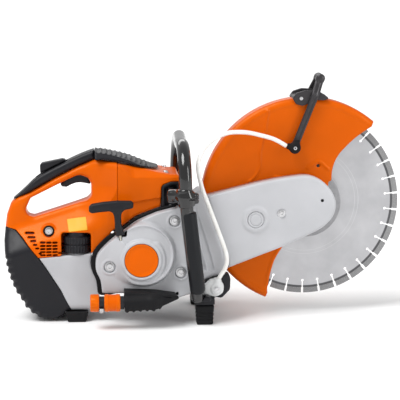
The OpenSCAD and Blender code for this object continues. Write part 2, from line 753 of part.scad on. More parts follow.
module front_bracket() color("black") difference() {
    union() {
        translate([-20, -98, 36.3]) cube([36, 196, 14]);
        for (y = [-84, 60]) side_plate([
            [-20, 49], [16, 49], [44, 60], [45, 84], [42, 94], [30, 88], [2, 78], [-20, 57],
        ], y, y + 24);
        translate([-24, -112, 49]) cube([30, 28, 6.7]);
    }
    swept_tube(bar_near, bar_r + 0.15, 20);
}

module front_feet() color("black") for (y = [-98, 68])
    side_plate([[-19, 36], [15, 36], [13, 0], [-17, 0]], y, y + foot_w);

// ---- Water supply ----

module water_hose() color("white") swept_tube(hose_route, hose_r, 10);

module hose_fitting() color("lightgray") difference() {
    union() {
        translate([20, -84.3, 66]) rotate([90, 0, 0]) cylinder(h = 14, r = 13);
        translate([-6, -98, 56]) cube([20, 12, 16]);
        translate([20, -98.3, 66]) rotate([90, 0, 0]) cylinder(h = 4, r = 7);
    }
    translate([20, -92, 78]) cylinder(h = 10, r = 5);
}

// A round bar on the coupling's middle line, from x0 to x1
module coupling_bar(x0, x1, r, end_r = undef) {
    translate([x0, coupling_y, coupling_z]) rotate([0, 90, 0])
        cylinder(h = x1 - x0, r1 = r, r2 = is_undef(end_r) ? r : end_r);
}

module coupling_core() color("black") difference() {
    coupling_bar(-205, -149, tube_r);
    coupling_bar(-206, -156, coupling_bore);
}

module coupling_nose() color("darkorange") difference() {
    coupling_bar(-210, -194, coupling_r);
    coupling_bar(-211, -204.95, 9.5);
    coupling_bar(-205.05, -185, tube_r + 0.02);
}

module coupling_collar() color("darkorange") difference() {
    coupling_bar(-185, -156, coupling_r);
    coupling_bar(-186, -155, tube_r + running);
}

// Ribbed rubber grip with a long taper, joined to the starter cover by a short web
module coupling_grip() color("black") {
    coupling_bar(-148.95, -78.95, 15);
    coupling_bar(-78.96, -50.96, 15, 5);
    for (i = [0:7]) coupling_bar(-146 + i * 9, -141 + i * 9, coupling_r);
    translate([-140, -108, 44]) cube([60, 30, 4]);
}

module coupling_clip() color("silver") difference() {
    coupling_bar(-193.5, -185.5, coupling_r + 2);
    coupling_bar(-194, -184, tube_r + 0.02);
    translate([-196, -140, 40]) cube([14, 40, 40]);
}

rear_housing();
grip_cover();
filter_cover();
tail_guard();
fuel_tank();
rear_feet();
engine_shroud();
machine_screws();
starter_cover();
starter_badge();
starter_screws();
cover_gasket();
recoil_spring();
starter_rope();
belt_housing();
arm_casting();
belt_guard();
tension_fasteners();
v_belt();
ball_bearings();
crankcase();
engine_cylinder();  // cylinder
piston();
connecting_rod();
spark_plug();
carburettor();
air_filter();
muffler();
fan_housing();
handlebar();
handlebar_sleeve();
handlebar_clamp();
av_buffers();
front_bracket();
front_feet();
hose_fitting();
water_hose();
coupling_core();
coupling_nose();
coupling_collar();
coupling_grip();
coupling_clip();
spindle_shaft();
driven_pulley();
wheel_flanges();
wheel_bolt();
wheel_core();
wheel_segments();
clutch_drum();
crankshaft();
flywheel();
clutch_shoes();
guard_shell();
guard_lever();
guard_fittings();
throttle_trigger();
trigger_lockout();
starter_grip();
rope_reel();
fuel_cap();
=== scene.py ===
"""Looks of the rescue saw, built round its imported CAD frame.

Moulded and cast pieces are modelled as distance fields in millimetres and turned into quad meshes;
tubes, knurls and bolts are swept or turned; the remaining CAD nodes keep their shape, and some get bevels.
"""
import math

import bmesh
import bpy
import numpy as np
import openvdb
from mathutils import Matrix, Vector
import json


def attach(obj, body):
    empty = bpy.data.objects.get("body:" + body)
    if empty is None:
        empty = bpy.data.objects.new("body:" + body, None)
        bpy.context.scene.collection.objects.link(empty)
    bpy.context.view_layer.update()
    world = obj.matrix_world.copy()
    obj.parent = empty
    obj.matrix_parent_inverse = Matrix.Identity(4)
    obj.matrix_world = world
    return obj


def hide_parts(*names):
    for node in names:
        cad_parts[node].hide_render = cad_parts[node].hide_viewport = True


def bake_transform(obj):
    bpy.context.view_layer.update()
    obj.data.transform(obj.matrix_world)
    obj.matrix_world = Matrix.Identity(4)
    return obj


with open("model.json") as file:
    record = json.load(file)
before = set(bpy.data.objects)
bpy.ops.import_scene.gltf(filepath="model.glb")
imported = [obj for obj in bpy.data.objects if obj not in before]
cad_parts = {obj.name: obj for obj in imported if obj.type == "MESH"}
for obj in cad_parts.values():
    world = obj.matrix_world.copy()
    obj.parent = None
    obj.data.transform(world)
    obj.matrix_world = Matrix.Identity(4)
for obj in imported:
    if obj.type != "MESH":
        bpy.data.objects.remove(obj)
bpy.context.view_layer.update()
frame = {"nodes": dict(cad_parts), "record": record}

MM = 0.001

# Driving places, in millimetres, as in the CAD source
SPINDLE = (191.0, 212.0)
CRANK = (-117.0, 122.0)
GUARD_R = 195.0
GUARD_HALF_W = 22.0
LEVER_EYE = (167.0, 316.0)
LEVER_TOP = (216.5, 441.0)
COUPLING_Y = -120.5
COUPLING_Z = 49.0
CAP_AT = (-233.0, -36.0)
BODY_HALF_W = 57.5
ROPE_Y = -94.5
ROPE_X = -155.0
HANDLE_SCREW = (-284.0, 167.0)
COVER_SCREWS = ((-174.0, 108.0), (-56.0, 191.0), (-45.0, 96.0))
FAN_SCREWS = ((-172.0, 76.0), (-60.0, 200.0), (-52.0, 70.0), (-187.0, 128.0))
TENSION_NUT = (93.0, 188.0)
GUARD_SCREW = (140.0, 199.0)
GUARD_HOLE = (215.0, 222.0)

# ---------------------------------------------------------------- camera

CAMERA_AZIMUTH = math.radians(-4.0)
CAMERA_ELEVATION = math.radians(9.0)
CAMERA_DISTANCE = 3.0
CAMERA_TARGET = Vector((-0.00435, 0.0, 0.2149))
VIEW_WIDTH = 0.7432


def add_camera():
    """The camera, at the photograph's viewing angle."""
    data = bpy.data.cameras.new("camera")
    data.sensor_width = 36.0
    data.lens = 36.0 * CAMERA_DISTANCE / VIEW_WIDTH
    data.clip_end = 50.0
    camera = bpy.data.objects.new("camera", data)
    bpy.context.scene.collection.objects.link(camera)
    back = Vector((
        math.sin(CAMERA_AZIMUTH) * math.cos(CAMERA_ELEVATION),
        -math.cos(CAMERA_AZIMUTH) * math.cos(CAMERA_ELEVATION),
        math.sin(CAMERA_ELEVATION),
    ))
    camera.location = CAMERA_TARGET + back * CAMERA_DISTANCE
    camera.rotation_euler = back.to_track_quat("Z", "Y").to_euler()
    bpy.context.scene.camera = camera


add_camera()

# ---------------------------------------------------------------- materials


MATERIALS = {}


class Look:
    """A new material, kept in MATERIALS under its name, with short ways to add nodes to it."""

    def __init__(self, name):
        self.material = MATERIALS[name] = bpy.data.materials.new(name)
        self.material.use_nodes = True
        self.nodes = self.material.node_tree.nodes
        self.shader = next(n for n in self.nodes if n.type == "BSDF_PRINCIPLED")

    def fill(self, node, sockets):
        """Links an output into each socket, or sets the socket's own value."""
        for socket, value in sockets.items():
            if isinstance(value, bpy.types.NodeSocket):
                self.material.node_tree.links.new(value, node.inputs[socket])
            else:
                node.inputs[socket].default_value = value

    def add(self, kind, sockets, **settings):
        node = self.nodes.new("ShaderNode" + kind)
        for name, value in settings.items():
            setattr(node, name, value)
        self.fill(node, sockets)
        return node

    def maths(self, operation, *values, kind="Math"):
        return self.add(kind, dict(enumerate(values)), operation=operation).outputs

    def place(self):
        """The piece's own space, so that a pattern stays on the piece as it moves."""
        return self.add("TexCoord", {}).outputs["Object"]

    def noise(self, scale, detail=3.0):
        return self.add("TexNoise", {"Vector": self.place(), "Scale": scale, "Detail": detail}).outputs["Fac"]

    def ranged(self, value, low, high, from_low=0.3, from_high=0.7):
        return self.add("MapRange", {
            "Value": value, "From Min": from_low, "From Max": from_high, "To Min": low, "To Max": high,
        }).outputs["Result"]

    def mixed(self, factor, a, b):
        ends = {key: (*v[:3], 1.0) if isinstance(v, (tuple, list)) else v for key, v in (("A", a), ("B", b))}
        return self.add("Mix", {**ends, "Factor": factor}, data_type="RGBA").outputs["Result"]

    def surface(self, heights, sockets):
        """Fills the shader's sockets and chains (height output, depth in metres) into its normal."""
        self.fill(self.shader, sockets)
        last = {}
        for height, depth in heights:
            bump = self.add("Bump", {"Distance": depth, "Strength": 1.0, "Height": height, **last})
            last = {"Normal": bump.outputs["Normal"]}
        self.fill(self.shader, last)
        return self.material


def moulded(name, color, worn, roughness, grain=0.00003, grain_scale=1400.0, coat=0.0, metallic=0.0,
            gloss=0.25, sheen_tint=(1.0, 1.0, 1.0)):
    """Moulded plastic, rubber or paint: tone drifts, fine grain, smudges, and paler edges."""
    look = Look(name)
    shade = look.mixed(look.ranged(look.noise(14.0), 0.0, 1.0),
                       [c * 0.93 for c in color], [min(1, c * 1.04) for c in color])
    # Nearly 1 on convex edges and 0 elsewhere, broken up by noise
    edges = look.ranged(look.add("NewGeometry", {}).outputs["Pointiness"], 0.0, 1.0, 0.51, 0.58)
    rubbed = look.maths("MULTIPLY", edges, look.ranged(look.noise(120.0), 0.0, EDGE_WEAR))[0]
    return look.surface([(look.noise(grain_scale, 2.0), grain)], {
        "Base Color": look.mixed(rubbed, shade, worn),
        "Roughness": look.ranged(look.noise(45.0, 5.0), roughness * 0.85, roughness * 1.18),
        "Metallic": metallic, "Specular IOR Level": gloss, "Specular Tint": (*sheen_tint, 1.0),
        "Coat Weight": coat, "Coat Roughness": 0.12,
    })


def machined(name, color, roughness, scale=900.0, depth=0.00002):
    """Bright metal with fine tool marks and a cloudy finish."""
    look = Look(name)
    cloud = look.ranged(look.noise(30.0, 4.0), 0.0, 1.0)
    marks = look.noise(scale, 2.0)
    return look.surface([(marks, depth)], {
        "Base Color": look.mixed(cloud, [c * 0.82 for c in color], color), "Metallic": 1.0,
        "Roughness": look.ranged(marks, roughness * 0.8, roughness * 1.25),
    })


def wheel_material():
    """Ground steel core: concentric grinding rings about the spindle, two tooled circles, and painted shadow where
    the segments sit.
    """
    look = Look("wheel_steel")
    shift = look.maths("SUBTRACT", look.place(), (SPINDLE[0] * MM, 0.0, SPINDLE[1] * MM), kind="VectorMath")[0]
    flat = look.maths("MULTIPLY", shift, (1.0, 0.0, 1.0), kind="VectorMath")[0]
    radius = look.maths("LENGTH", flat, kind="VectorMath")["Value"]
    rings = look.add("TexNoise", {"Scale": 900.0, "Detail": 4.0, "W": radius}, noise_dimensions="1D")
    rings = rings.outputs["Fac"]
    shade = look.mixed(look.ranged(look.noise(22.0, 4.0), 0.0, 1.0), (0.43, 0.43, 0.445), (0.52, 0.52, 0.535))
    tooled = []
    for circle in TOOLED_RADII:
        off = look.maths("ABSOLUTE", look.maths("SUBTRACT", radius, circle)[0])[0]
        tooled.append(look.ranged(off, 1.0, 0.0, 0.0002, 0.0009))
    ring = look.maths("MAXIMUM", *tooled)[0]
    shade = look.mixed(look.maths("MULTIPLY", ring, 0.18)[0], shade, (0.82, 0.82, 0.83))
    # Painted shadow: the core goes dark from the segments' inner edge outwards, for the shade under and between
    # them
    band = look.ranged(radius, 0.0, 1.0, 0.1606, 0.1614)
    return look.surface([(rings, 0.00002), (ring, 0.0001)], {
        "Base Color": look.mixed(band, shade, (0.10, 0.10, 0.105)), "Metallic": 0.85,
        "Roughness": look.ranged(rings, 0.30, 0.46),
    })


def segment_material():
    """Sintered diamond segment: gritty grey with sandy flecks."""
    look = Look("diamond_segment")
    grit = look.noise(900.0, 6.0)
    return look.surface([(grit, 0.0006)], {
        "Base Color": look.mixed(look.ranged(grit, 0, 1), (0.17, 0.17, 0.172), (0.36, 0.36, 0.365)),
        "Metallic": 0.3, "Roughness": 0.75,
    })


def hose_material():
    """Milky translucent hose."""
    look = Look("hose")
    cloud = look.ranged(look.noise(60.0), 0, 1)
    return look.surface([(look.noise(700.0), 0.00002)], {
        "Base Color": look.mixed(cloud, (0.78, 0.77, 0.74), (0.88, 0.87, 0.85)), "Roughness": 0.28,
        "Subsurface Weight": 0.6, "Subsurface Radius": (0.004, 0.004, 0.004), "Coat Weight": 0.3,
    })


def rope_material():
    """Braided starter rope: two crossed waves."""
    look = Look("rope")
    heights = []
    for turn in (0.7, -0.7):
        spot = look.add("Mapping", {"Vector": look.place(), "Rotation": (0.0, turn, 0.0)})
        wave = look.add("TexWave", {"Vector": spot.outputs["Vector"], "Scale": 260.0})
        heights.append((wave.outputs["Fac"], 0.0003))
    return look.surface(heights, {
        "Base Color": look.mixed(heights[0][0], (0.62, 0.6, 0.52), (0.8, 0.78, 0.7)), "Roughness": 0.8,
    })


def filter_material():
    """Pleated felt."""
    look = Look("filter_paper")
    fibre = look.noise(500.0, 6.0)
    return look.surface([(fibre, 0.0004)], {
        "Base Color": look.mixed(fibre, (0.6, 0.55, 0.4), (0.8, 0.76, 0.6)), "Roughness": 0.9,
    })


# How strongly worn edges show, and the radii in metres of the circles turned into the wheel
EDGE_WEAR = 0.25
TOOLED_RADII = (0.094, 0.1005)
ORANGE = (0.69, 0.102, 0.0)
WARM = (1.0, 0.6, 0.15)
moulded("orange_plastic", ORANGE, (0.95, 0.32, 0.02), 0.34, coat=0.05, gloss=0.3, sheen_tint=WARM)
# Painted shade: the guard's paint is a darker copy of the housing orange, for the shade on the guard's face
moulded("guard_paint", (0.61, 0.088, 0.0), (0.9, 0.32, 0.05), 0.36, 0.00002, 900.0, coat=0.05,
        gloss=0.35, sheen_tint=WARM)
moulded("black_plastic", (0.010, 0.010, 0.013), (0.05, 0.05, 0.055), 0.40, 0.00005, 1100.0)
moulded("grey_cover", (0.475, 0.48, 0.50), (0.7, 0.7, 0.7), 0.36, 0.00002, 900.0, coat=0.08)
moulded("tank_plastic", (0.47, 0.475, 0.495), (0.65, 0.65, 0.65), 0.42, 0.00003, 1000.0)
moulded("rubber", (0.008, 0.008, 0.009), (0.03, 0.03, 0.03), 0.55, 0.00006, 900.0, gloss=0.15)
moulded("dark_sleeve", (0.008, 0.009, 0.011), (0.04, 0.04, 0.045), 0.38, 0.00005, 1200.0, gloss=0.2)
moulded("bar_paint", (0.003, 0.003, 0.0035), (0.02, 0.02, 0.02), 0.14, 0.000006, 500.0, coat=0.5, gloss=0.5)
moulded("dark_metal", (0.045, 0.042, 0.045), (0.3, 0.29, 0.28), 0.34, 0.00004, 900.0, metallic=0.4)
machined("bright_steel", (0.68, 0.68, 0.69), 0.3)
machined("aluminium", (0.62, 0.63, 0.65), 0.45, 700.0, 0.00008)
moulded("white_plastic", (0.62, 0.63, 0.63), (0.8, 0.8, 0.8), 0.4)
wheel_material()
segment_material()
hose_material()
rope_material()
filter_material()
HUB_STEEL = moulded("hub_steel", (0.24, 0.24, 0.25), (0.6, 0.6, 0.6), 0.35, 0.00002, 900.0, metallic=0.6)
LABEL = moulded("label_yellow", (0.78, 0.42, 0.03), (0.9, 0.7, 0.4), 0.45, 0.00001)
# Painted shade: a dark, shaded orange for the inside of slots and gaps
SLOT_SHADE = moulded("slot_shade", (0.10, 0.012, 0.001), (0.1, 0.02, 0.01), 0.7)

# ---------------------------------------------------------------- distance fields


class Space:
    """A block of sample points, in millimetres, with x, y and z that broadcast together."""

    def __init__(self, low, high, step):
        self.low = np.array(low, float)
        self.step = step
        counts = [int(math.ceil((b - a) / step)) + 1 for a, b in zip(low, high)]
        axes = [(a + step * np.arange(n)).astype(np.float32) for a, n in zip(low, counts)]
        self.x = axes[0][:, None, None]
        self.y = axes[1][None, :, None]
        self.z = axes[2][None, None, :]
        self.shape = tuple(counts)


def smin(a, b, k):
    """Union with a fillet of about k."""
    h = np.maximum(k - np.abs(a - b), 0.0) / k
    return np.minimum(a, b) - h * h * k * 0.25


def smax(a, b, k):
    """Intersection with a rounding of about k."""
    return -smin(-a, -b, k)


def cut(d, tool, k=1.0):
    """A shape less a tool, with a rounding of about k."""
    return smax(d, -tool, k)


def ramp(t):
    """Smooth step from 0 to 1 as t goes from 0 to 1."""
    t = np.clip(t, 0.0, 1.0)
    return t * t * (3.0 - 2.0 * t)


def rounded(points, radius, steps=5):
    """The closed outline with an arc at each corner; radius is one value or one per corner."""
    count = len(points)
    radii = radius if isinstance(radius, (list, tuple)) else [radius] * count
    out = []
    for i in range(count):
        p = np.array(points[i], float)
        a = np.array(points[i - 1], float) - p
        b = np.array(points[(i + 1) % count], float) - p
        la, lb = np.linalg.norm(a), np.linalg.norm(b)
        a, b = a / la, b / lb
        half = math.acos(max(-1.0, min(1.0, float(a @ b)))) / 2.0
        cut = min(radii[i] / max(math.tan(half), 1e-6), 0.48 * min(la, lb))
        if half > 1.5 or cut < 0.05:
            out.append(tuple(p))
            continue
        r = cut * math.tan(half)
        centre = p + (a + b) / np.linalg.norm(a + b) * (r / math.sin(half))
        start, end = p + a * cut - centre, p + b * cut - centre
        first = math.atan2(start[1], start[0])
        sweep = (math.atan2(end[1], end[0]) - first + math.pi) % (2 * math.pi) - math.pi
        for k in range(steps + 1):
            angle = first + sweep * k / steps
            out.append((centre[0] + r * math.cos(angle), centre[1] + r * math.sin(angle)))
    return out


def smooth_curve(points, steps=6, closed=True):
    """Catmull-Rom curve through the points."""
    p = [np.array(q, float) for q in points]
    n = len(p)
    out = []
    for i in range(n if closed else n - 1):
        q = [p[j % n] if closed else p[min(max(j, 0), n - 1)] for j in range(i - 1, i + 3)]
        for k in range(steps):
            t = k / steps
            out.append(tuple(0.5 * (
                2 * q[1] + (q[2] - q[0]) * t + (2 * q[0] - 5 * q[1] + 4 * q[2] - q[3]) * t * t
                + (3 * q[1] - q[0] - 3 * q[2] + q[3]) * t ** 3
            )))
    if not closed:
        out.append(tuple(p[-1]))
    return out


def arc(centre, radius, start, end, steps):
    return [
        (centre[0] + radius * math.cos(math.radians(start + (end - start) * i / steps)),
         centre[1] + radius * math.sin(math.radians(start + (end - start) * i / steps)))
        for i in range(steps + 1)
    ]


def outline(s, points):
    """Signed distance to a closed outline in the side view, below zero inside it."""
    x, z = np.broadcast_arrays(s.x, s.z)
    best = np.full(x.shape, 1e9, np.float32)
    inside = np.zeros(x.shape, bool)
    for (ax, az), (bx, bz) in zip(points, points[1:] + points[:1]):
        ex, ez = bx - ax, bz - az
        size = ex * ex + ez * ez
        if size < 1e-9:
            continue
        t = np.clip(((x - ax) * ex + (z - az) * ez) / size, 0, 1)
        best = np.minimum(best, (x - ax - t * ex) ** 2 + (z - az - t * ez) ** 2)
        if abs(ez) > 1e-9:
            crosses = ((az > z) != (bz > z)) & (x < ex * (z - az) / ez + ax)
            inside ^= crosses
    d = np.sqrt(best)
    return np.where(inside, -d, d).astype(np.float32)


def path_distance(s, points):
    """Distance to an open line in the side view."""
    x, z = np.broadcast_arrays(s.x, s.z)
    best = np.full(x.shape, 1e9, np.float32)
    for (ax, az), (bx, bz) in zip(points, points[1:]):
        ex, ez = bx - ax, bz - az
        t = np.clip(((x - ax) * ex + (z - az) * ez) / (ex * ex + ez * ez), 0, 1)
        best = np.minimum(best, (x - ax - t * ex) ** 2 + (z - az - t * ez) ** 2)
    return np.sqrt(best)


def disc(s, centre):
    """Distance from an axis across the saw, in the side view."""
    return np.sqrt((s.x - centre[0]) ** 2 + (s.z - centre[1]) ** 2)


def disc_y(s, centre):
    """Distance from an upright axis through a point, seen from above."""
    return np.sqrt((s.x - centre[0]) ** 2 + (s.y - centre[1]) ** 2)


def slab(s, d2, y0, y1, edge):
    """A side-view shape made solid between two depths, with rounded edges."""
    return smax(d2, np.abs(s.y - (y0 + y1) / 2) - (y1 - y0) / 2, edge)


def capsule(s, a, b, ra, rb=None):
    """A round bar between two points, with its radius going from ra to rb."""
    rb = ra if rb is None else rb
    e = [b[i] - a[i] for i in range(3)]
    size = sum(v * v for v in e)
    t = np.clip(((s.x - a[0]) * e[0] + (s.y - a[1]) * e[1] + (s.z - a[2]) * e[2]) / size, 0, 1)
    d = np.sqrt((s.x - a[0] - t * e[0]) ** 2 + (s.y - a[1] - t * e[1]) ** 2 + (s.z - a[2] - t * e[2]) ** 2)
    return d - (ra + (rb - ra) * t)


def rod(s, a, b, r, edge=1.0):
    """A flat-ended round bar between two points."""
    e = np.array(b, float) - np.array(a, float)
    size = float(np.linalg.norm(e))
    e = e / size
    t = (s.x - a[0]) * e[0] + (s.y - a[1]) * e[1] + (s.z - a[2]) * e[2]
    d = np.sqrt(np.maximum(
        (s.x - a[0] - t * e[0]) ** 2 + (s.y - a[1] - t * e[1]) ** 2 + (s.z - a[2] - t * e[2]) ** 2, 0
    ))
    return smax(d - r, np.abs(t - size / 2) - size / 2, edge)


def block(s, low, high, edge=1.0):
    """A box with rounded edges."""
    d = None
    for value, a, b in ((s.x, low[0], high[0]), (s.y, low[1], high[1]), (s.z, low[2], high[2])):
        w = np.abs(value - (a + b) / 2) - (b - a) / 2
        d = w if d is None else smax(d, w, edge)
    return d


def link(name, mesh):
    piece = bpy.data.objects.new(name, mesh)
    bpy.context.scene.collection.objects.link(piece)
    return piece


def finish_piece(piece, slot_name, body="root", replaced=(), material=None):
    """Gives a piece its material, puts it on its body, and hides what it stands for."""
    piece.data.materials.clear()
    piece.data.materials.append(material or MATERIALS[slot_name])
    if body:
        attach(piece, body)
    if replaced:
        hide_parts(*replaced)
    return piece


def field_mesh(name, s, d):
    """Quad mesh of the field's zero surface, in metres."""
    far = 4.0 * s.step
    d = np.clip(np.broadcast_to(d, s.shape), -far, far).astype(np.float32)
    for axis in range(3):
        edge = [slice(None)] * 3
        for end in (0, -1):
            edge[axis] = end
            d[tuple(edge)] = far
    grid = openvdb.FloatGrid(far)
    grid.copyFromArray(np.ascontiguousarray(d))
    points, quads = grid.convertToQuads(isovalue=0.0)
    points = (np.array(points, float) * s.step + s.low) * MM
    mesh = bpy.data.meshes.new(name)
    mesh.vertices.add(len(points))
    mesh.vertices.foreach_set("co", points.ravel())
    mesh.loops.add(quads.size)
    mesh.loops.foreach_set("vertex_index", np.array(quads[:, ::-1], np.int32).ravel())
    mesh.polygons.add(len(quads))
    mesh.polygons.foreach_set("loop_start", np.arange(0, quads.size, 4, dtype=np.int32))
    mesh.polygons.foreach_set("use_smooth", np.ones(len(quads), bool))
    mesh.update(calc_edges=True)
    return link(name, mesh)


def made(name, s, d, slot_name, body="root", replaced=(), material=None):
    finish_piece(field_mesh(name, s, d), slot_name, body, replaced, material)


# ---------------------------------------------------------------- swept and turned pieces


def frame_along(points):
    """Tangent and two normals at each point of a route, turned as little as possible."""
    p = np.array(points, float)
    tangents = np.gradient(p, axis=0)
    tangents /= np.linalg.norm(tangents, axis=1)[:, None]
    normal = np.cross(tangents[0], (0.0, 1.0, 0.0))
    if np.linalg.norm(normal) < 0.2:
        normal = np.cross(tangents[0], (1.0, 0.0, 0.0))
    frames = []
    for t in tangents:
        normal = normal - t * (normal @ t)
        normal = normal / np.linalg.norm(normal)
        frames.append((t, normal, np.cross(t, normal)))
    return p, frames


def skinned(name, rings, sides, closed=False):
    """Smooth mesh through rings of points in metres; a ring of one point closes an end."""
    bm = bmesh.new()
    loops = [[bm.verts.new(point) for point in ring] for ring in rings]
    for a, b in zip(loops, loops[1:] + loops[:1] if closed else loops[1:]):
        for k in range(sides):
            corner = [a[k % len(a)], a[(k + 1) % len(a)], b[(k + 1) % len(b)], b[k % len(b)]]
            unique = list(dict.fromkeys(corner))
            if len(unique) > 2:
                bm.faces.new(unique)
    bmesh.ops.recalc_face_normals(bm, faces=bm.faces)
    mesh = bpy.data.meshes.new(name)
    bm.to_mesh(mesh)
    bm.free()
    mesh.polygons.foreach_set("use_smooth", np.ones(len(mesh.polygons), bool))
    return link(name, mesh)


def ring_of(centre, u, v, sides, radius_at):
    """Points in metres round a centre, at a radius that may change with the angle."""
    angles = [2 * math.pi * k / sides for k in range(sides)]
    return [(centre + radius_at(a) * (math.cos(a) * u + math.sin(a) * v)) * MM for a in angles]


def tube_mesh(name, points, radius, sides=32):
    """A round-ended tube along a route in millimetres; radius is one value or one per point."""
    p, frames = frame_along(points)
    radii = np.broadcast_to(np.array(radius, float), (len(p),))
    # Each end closes in steps of (share of the radius, distance in radii from the route's end)
    steps = ((0.0, 0.0), (0.82, 0.0), (0.95, 0.08), (1.0, 0.18))
    stations = [(p[0] + frames[0][0] * radii[0] * back, frames[0], radii[0] * size) for size, back in steps]
    stations += [(p[i], frames[i], radii[i]) for i in range(1, len(p) - 1)]
    stations += [(p[-1] - frames[-1][0] * radii[-1] * back, frames[-1], radii[-1] * size)
                 for size, back in reversed(steps)]
    return skinned(name, [
        ring_of(centre, u, v, sides, lambda a: r) if r > 0.0 else [centre * MM] for centre, (_, u, v), r in stations
    ], sides)


def lathe(name, origin, axis, profile, sides=72, ripple=None):
    """A turned piece. profile is [distance along axis, radius]; ripple(angle, row) scales the radius."""
    axis = np.array(axis, float) / np.linalg.norm(axis)
    u = np.cross(axis, (0.0, 0.0, 1.0))
    if np.linalg.norm(u) < 0.2:
        u = np.cross(axis, (1.0, 0.0, 0.0))
    u /= np.linalg.norm(u)
    v = np.cross(axis, u)
    rings = []
    for row, (along, r) in enumerate(profile):
        centre = np.array(origin, float) + axis * along
        rings.append(
            ring_of(centre, u, v, sides, lambda a: r * (ripple(a, row) if ripple else 1.0)) if r else [centre * MM]
        )
    piece = skinned(name, rings, sides, len(rings[0]) > 1 and len(rings[-1]) > 1)
    piece.data.set_sharp_from_angle(angle=math.radians(38))
    return piece


def bevelled(node, width):
    """Rounds a kept CAD node's edges."""
    piece = frame["nodes"][node]
    weld = piece.modifiers.new("weld", "WELD")
    weld.merge_threshold = 0.00001
    bevel = piece.modifiers.new("bevel", "BEVEL")
    bevel.width = width * MM
    bevel.segments = 3
    bevel.limit_method = "ANGLE"
    bevel.angle_limit = math.radians(35.0)
    bevel.use_clamp_overlap = True
    bevel.harden_normals = False


# ---------------------------------------------------------------- outlines in the side view

COVER_LINE = [
    (-188, 60), (-191, 83), (-199, 103), (-197, 127), (-183, 145), (-165, 161), (-145, 175),
    (-122, 191), (-87, 206), (-53, 218), (-45, 215), (-25, 62), (-27, 56), (-51, 49), (-100, 52),
]
REAR_FORM = [
    (-361, 194), (-353, 216), (-340, 227), (-317, 236), (-275, 260), (-232, 282), (-198, 296),
    (-158, 291.5), (-130, 286), (-130, 20), (-244, 20), (-258, 12), (-272, 4), (-295, 4), (-312, 11),
    (-328, 26), (-336, 41), (-347, 58), (-355, 79), (-362, 102), (-365, 131), (-366, 148), (-364, 172),
]
HOUSING_REGION = [
    (-400, 171.7), (-361, 171.7), (-344.7, 167.9), (-330.6, 153.4), (-303.5, 120), (-206, 127),
    (-190, 144), (-169, 168), (-158, 177), (-158, 330), (-400, 330),
]
TAIL_REGION = [
    (-400, 171.4), (-361, 171.4), (-345, 167.5), (-331, 153), (-304, 119), (-291, 101), (-264, 58),
    (-242, 20), (-256, 19.5), (-256, -10), (-400, -10),
]
TANK_REGION = [
    (-302.5, 119.6), (-206, 126.6), (-208, 110), (-204, 95), (-196, 78), (-193, 64), (-192, 10),
    (-240.6, 10), (-263, 58.5), (-290, 101.5),
]
HANDLE_HOLE = [
    (-326, 204), (-317, 224), (-265, 250), (-240, 262), (-227, 267), (-211, 261),
    (-206, 250), (-206, 228), (-213, 221), (-311, 190), (-322, 193),
]
SHROUD_LINE = [
    (-190, 297.5), (-147, 288), (-123, 284), (-88, 276.5), (-62, 271.5), (-48, 271),
    (-44, 262), (-44, 226), (-52, 222), (-84, 210), (-125, 195), (-146, 180), (-157.6, 172), (-190, 172),
]
ARM_LINE = [
    (4, 232.5), (49, 243.5), (107, 257.5), (152, 265), (187, 268), (210, 260.5), (229, 243.5), (239, 224.5),
    (240.5, 208), (234, 189.5), (217, 172), (194, 159.5), (145, 137.5), (103, 121.5), (43, 98.5),
    (42, 112), (27, 159), (12, 200),
]
MID_LINE = [
    (-26, 58), (0, 80), (30, 90), (41.5, 97.5), (40, 112), (25, 159), (10, 200), (-3, 246),
    (-12, 250), (-30, 236), (-44, 216),
]


def handle_line(x):
    """Height of the handle opening's lower edge."""
    return 190.0 + (x + 311.0) * 0.316


def cover_outline(s):
    return outline(s, smooth_curve(COVER_LINE[:9], 4, False) + rounded(COVER_LINE[9:], 5))


def lean_of(x, z):
    """How far the side leans in along the top edge; the band fades out towards the rear."""
    start = 266.0 + 24.0 * ramp((-126.0 - x) / 36.0)
    return np.maximum(z - start, 0.0) * 0.75


def rear_half(x, z):
    """Half width of the rear unit: slim at the handle loop, flaring to a ridge beside the engine."""
    below = ramp((handle_line(x) - z) / 58.0)
    ridge = -159.0 - 16.0 * ramp((252.0 - z) / 42.0)
    wide = np.clip((x - ridge + 60.0) / 60.0, 0.0, 1.0) ** 1.6
    half = 23.0 + 33.0 * below
    return half + (BODY_HALF_W - lean_of(x, z) - half) * wide


# ---------------------------------------------------------------- rear handle unit


def rear_form(s):
    """The whole rear unit as one soft form, before it's split into its pieces."""
    radii = [10, 16, 22, 30, 40, 40, 30, 10, 1, 1, 12, 14, 12, 14, 14, 14, 14, 14, 14, 14, 14, 14, 12]
    return smax(outline(s, rounded(REAR_FORM, radii)), np.abs(s.y) - rear_half(s.x, s.z), 15.0)


def shell_of(form, region, wall, edge=0.9):
    """The part of a form inside a region, hollowed."""
    solid = smax(form, region, edge)
    return smax(solid, -smax(form + wall, region + wall, 2.0), 0.8)


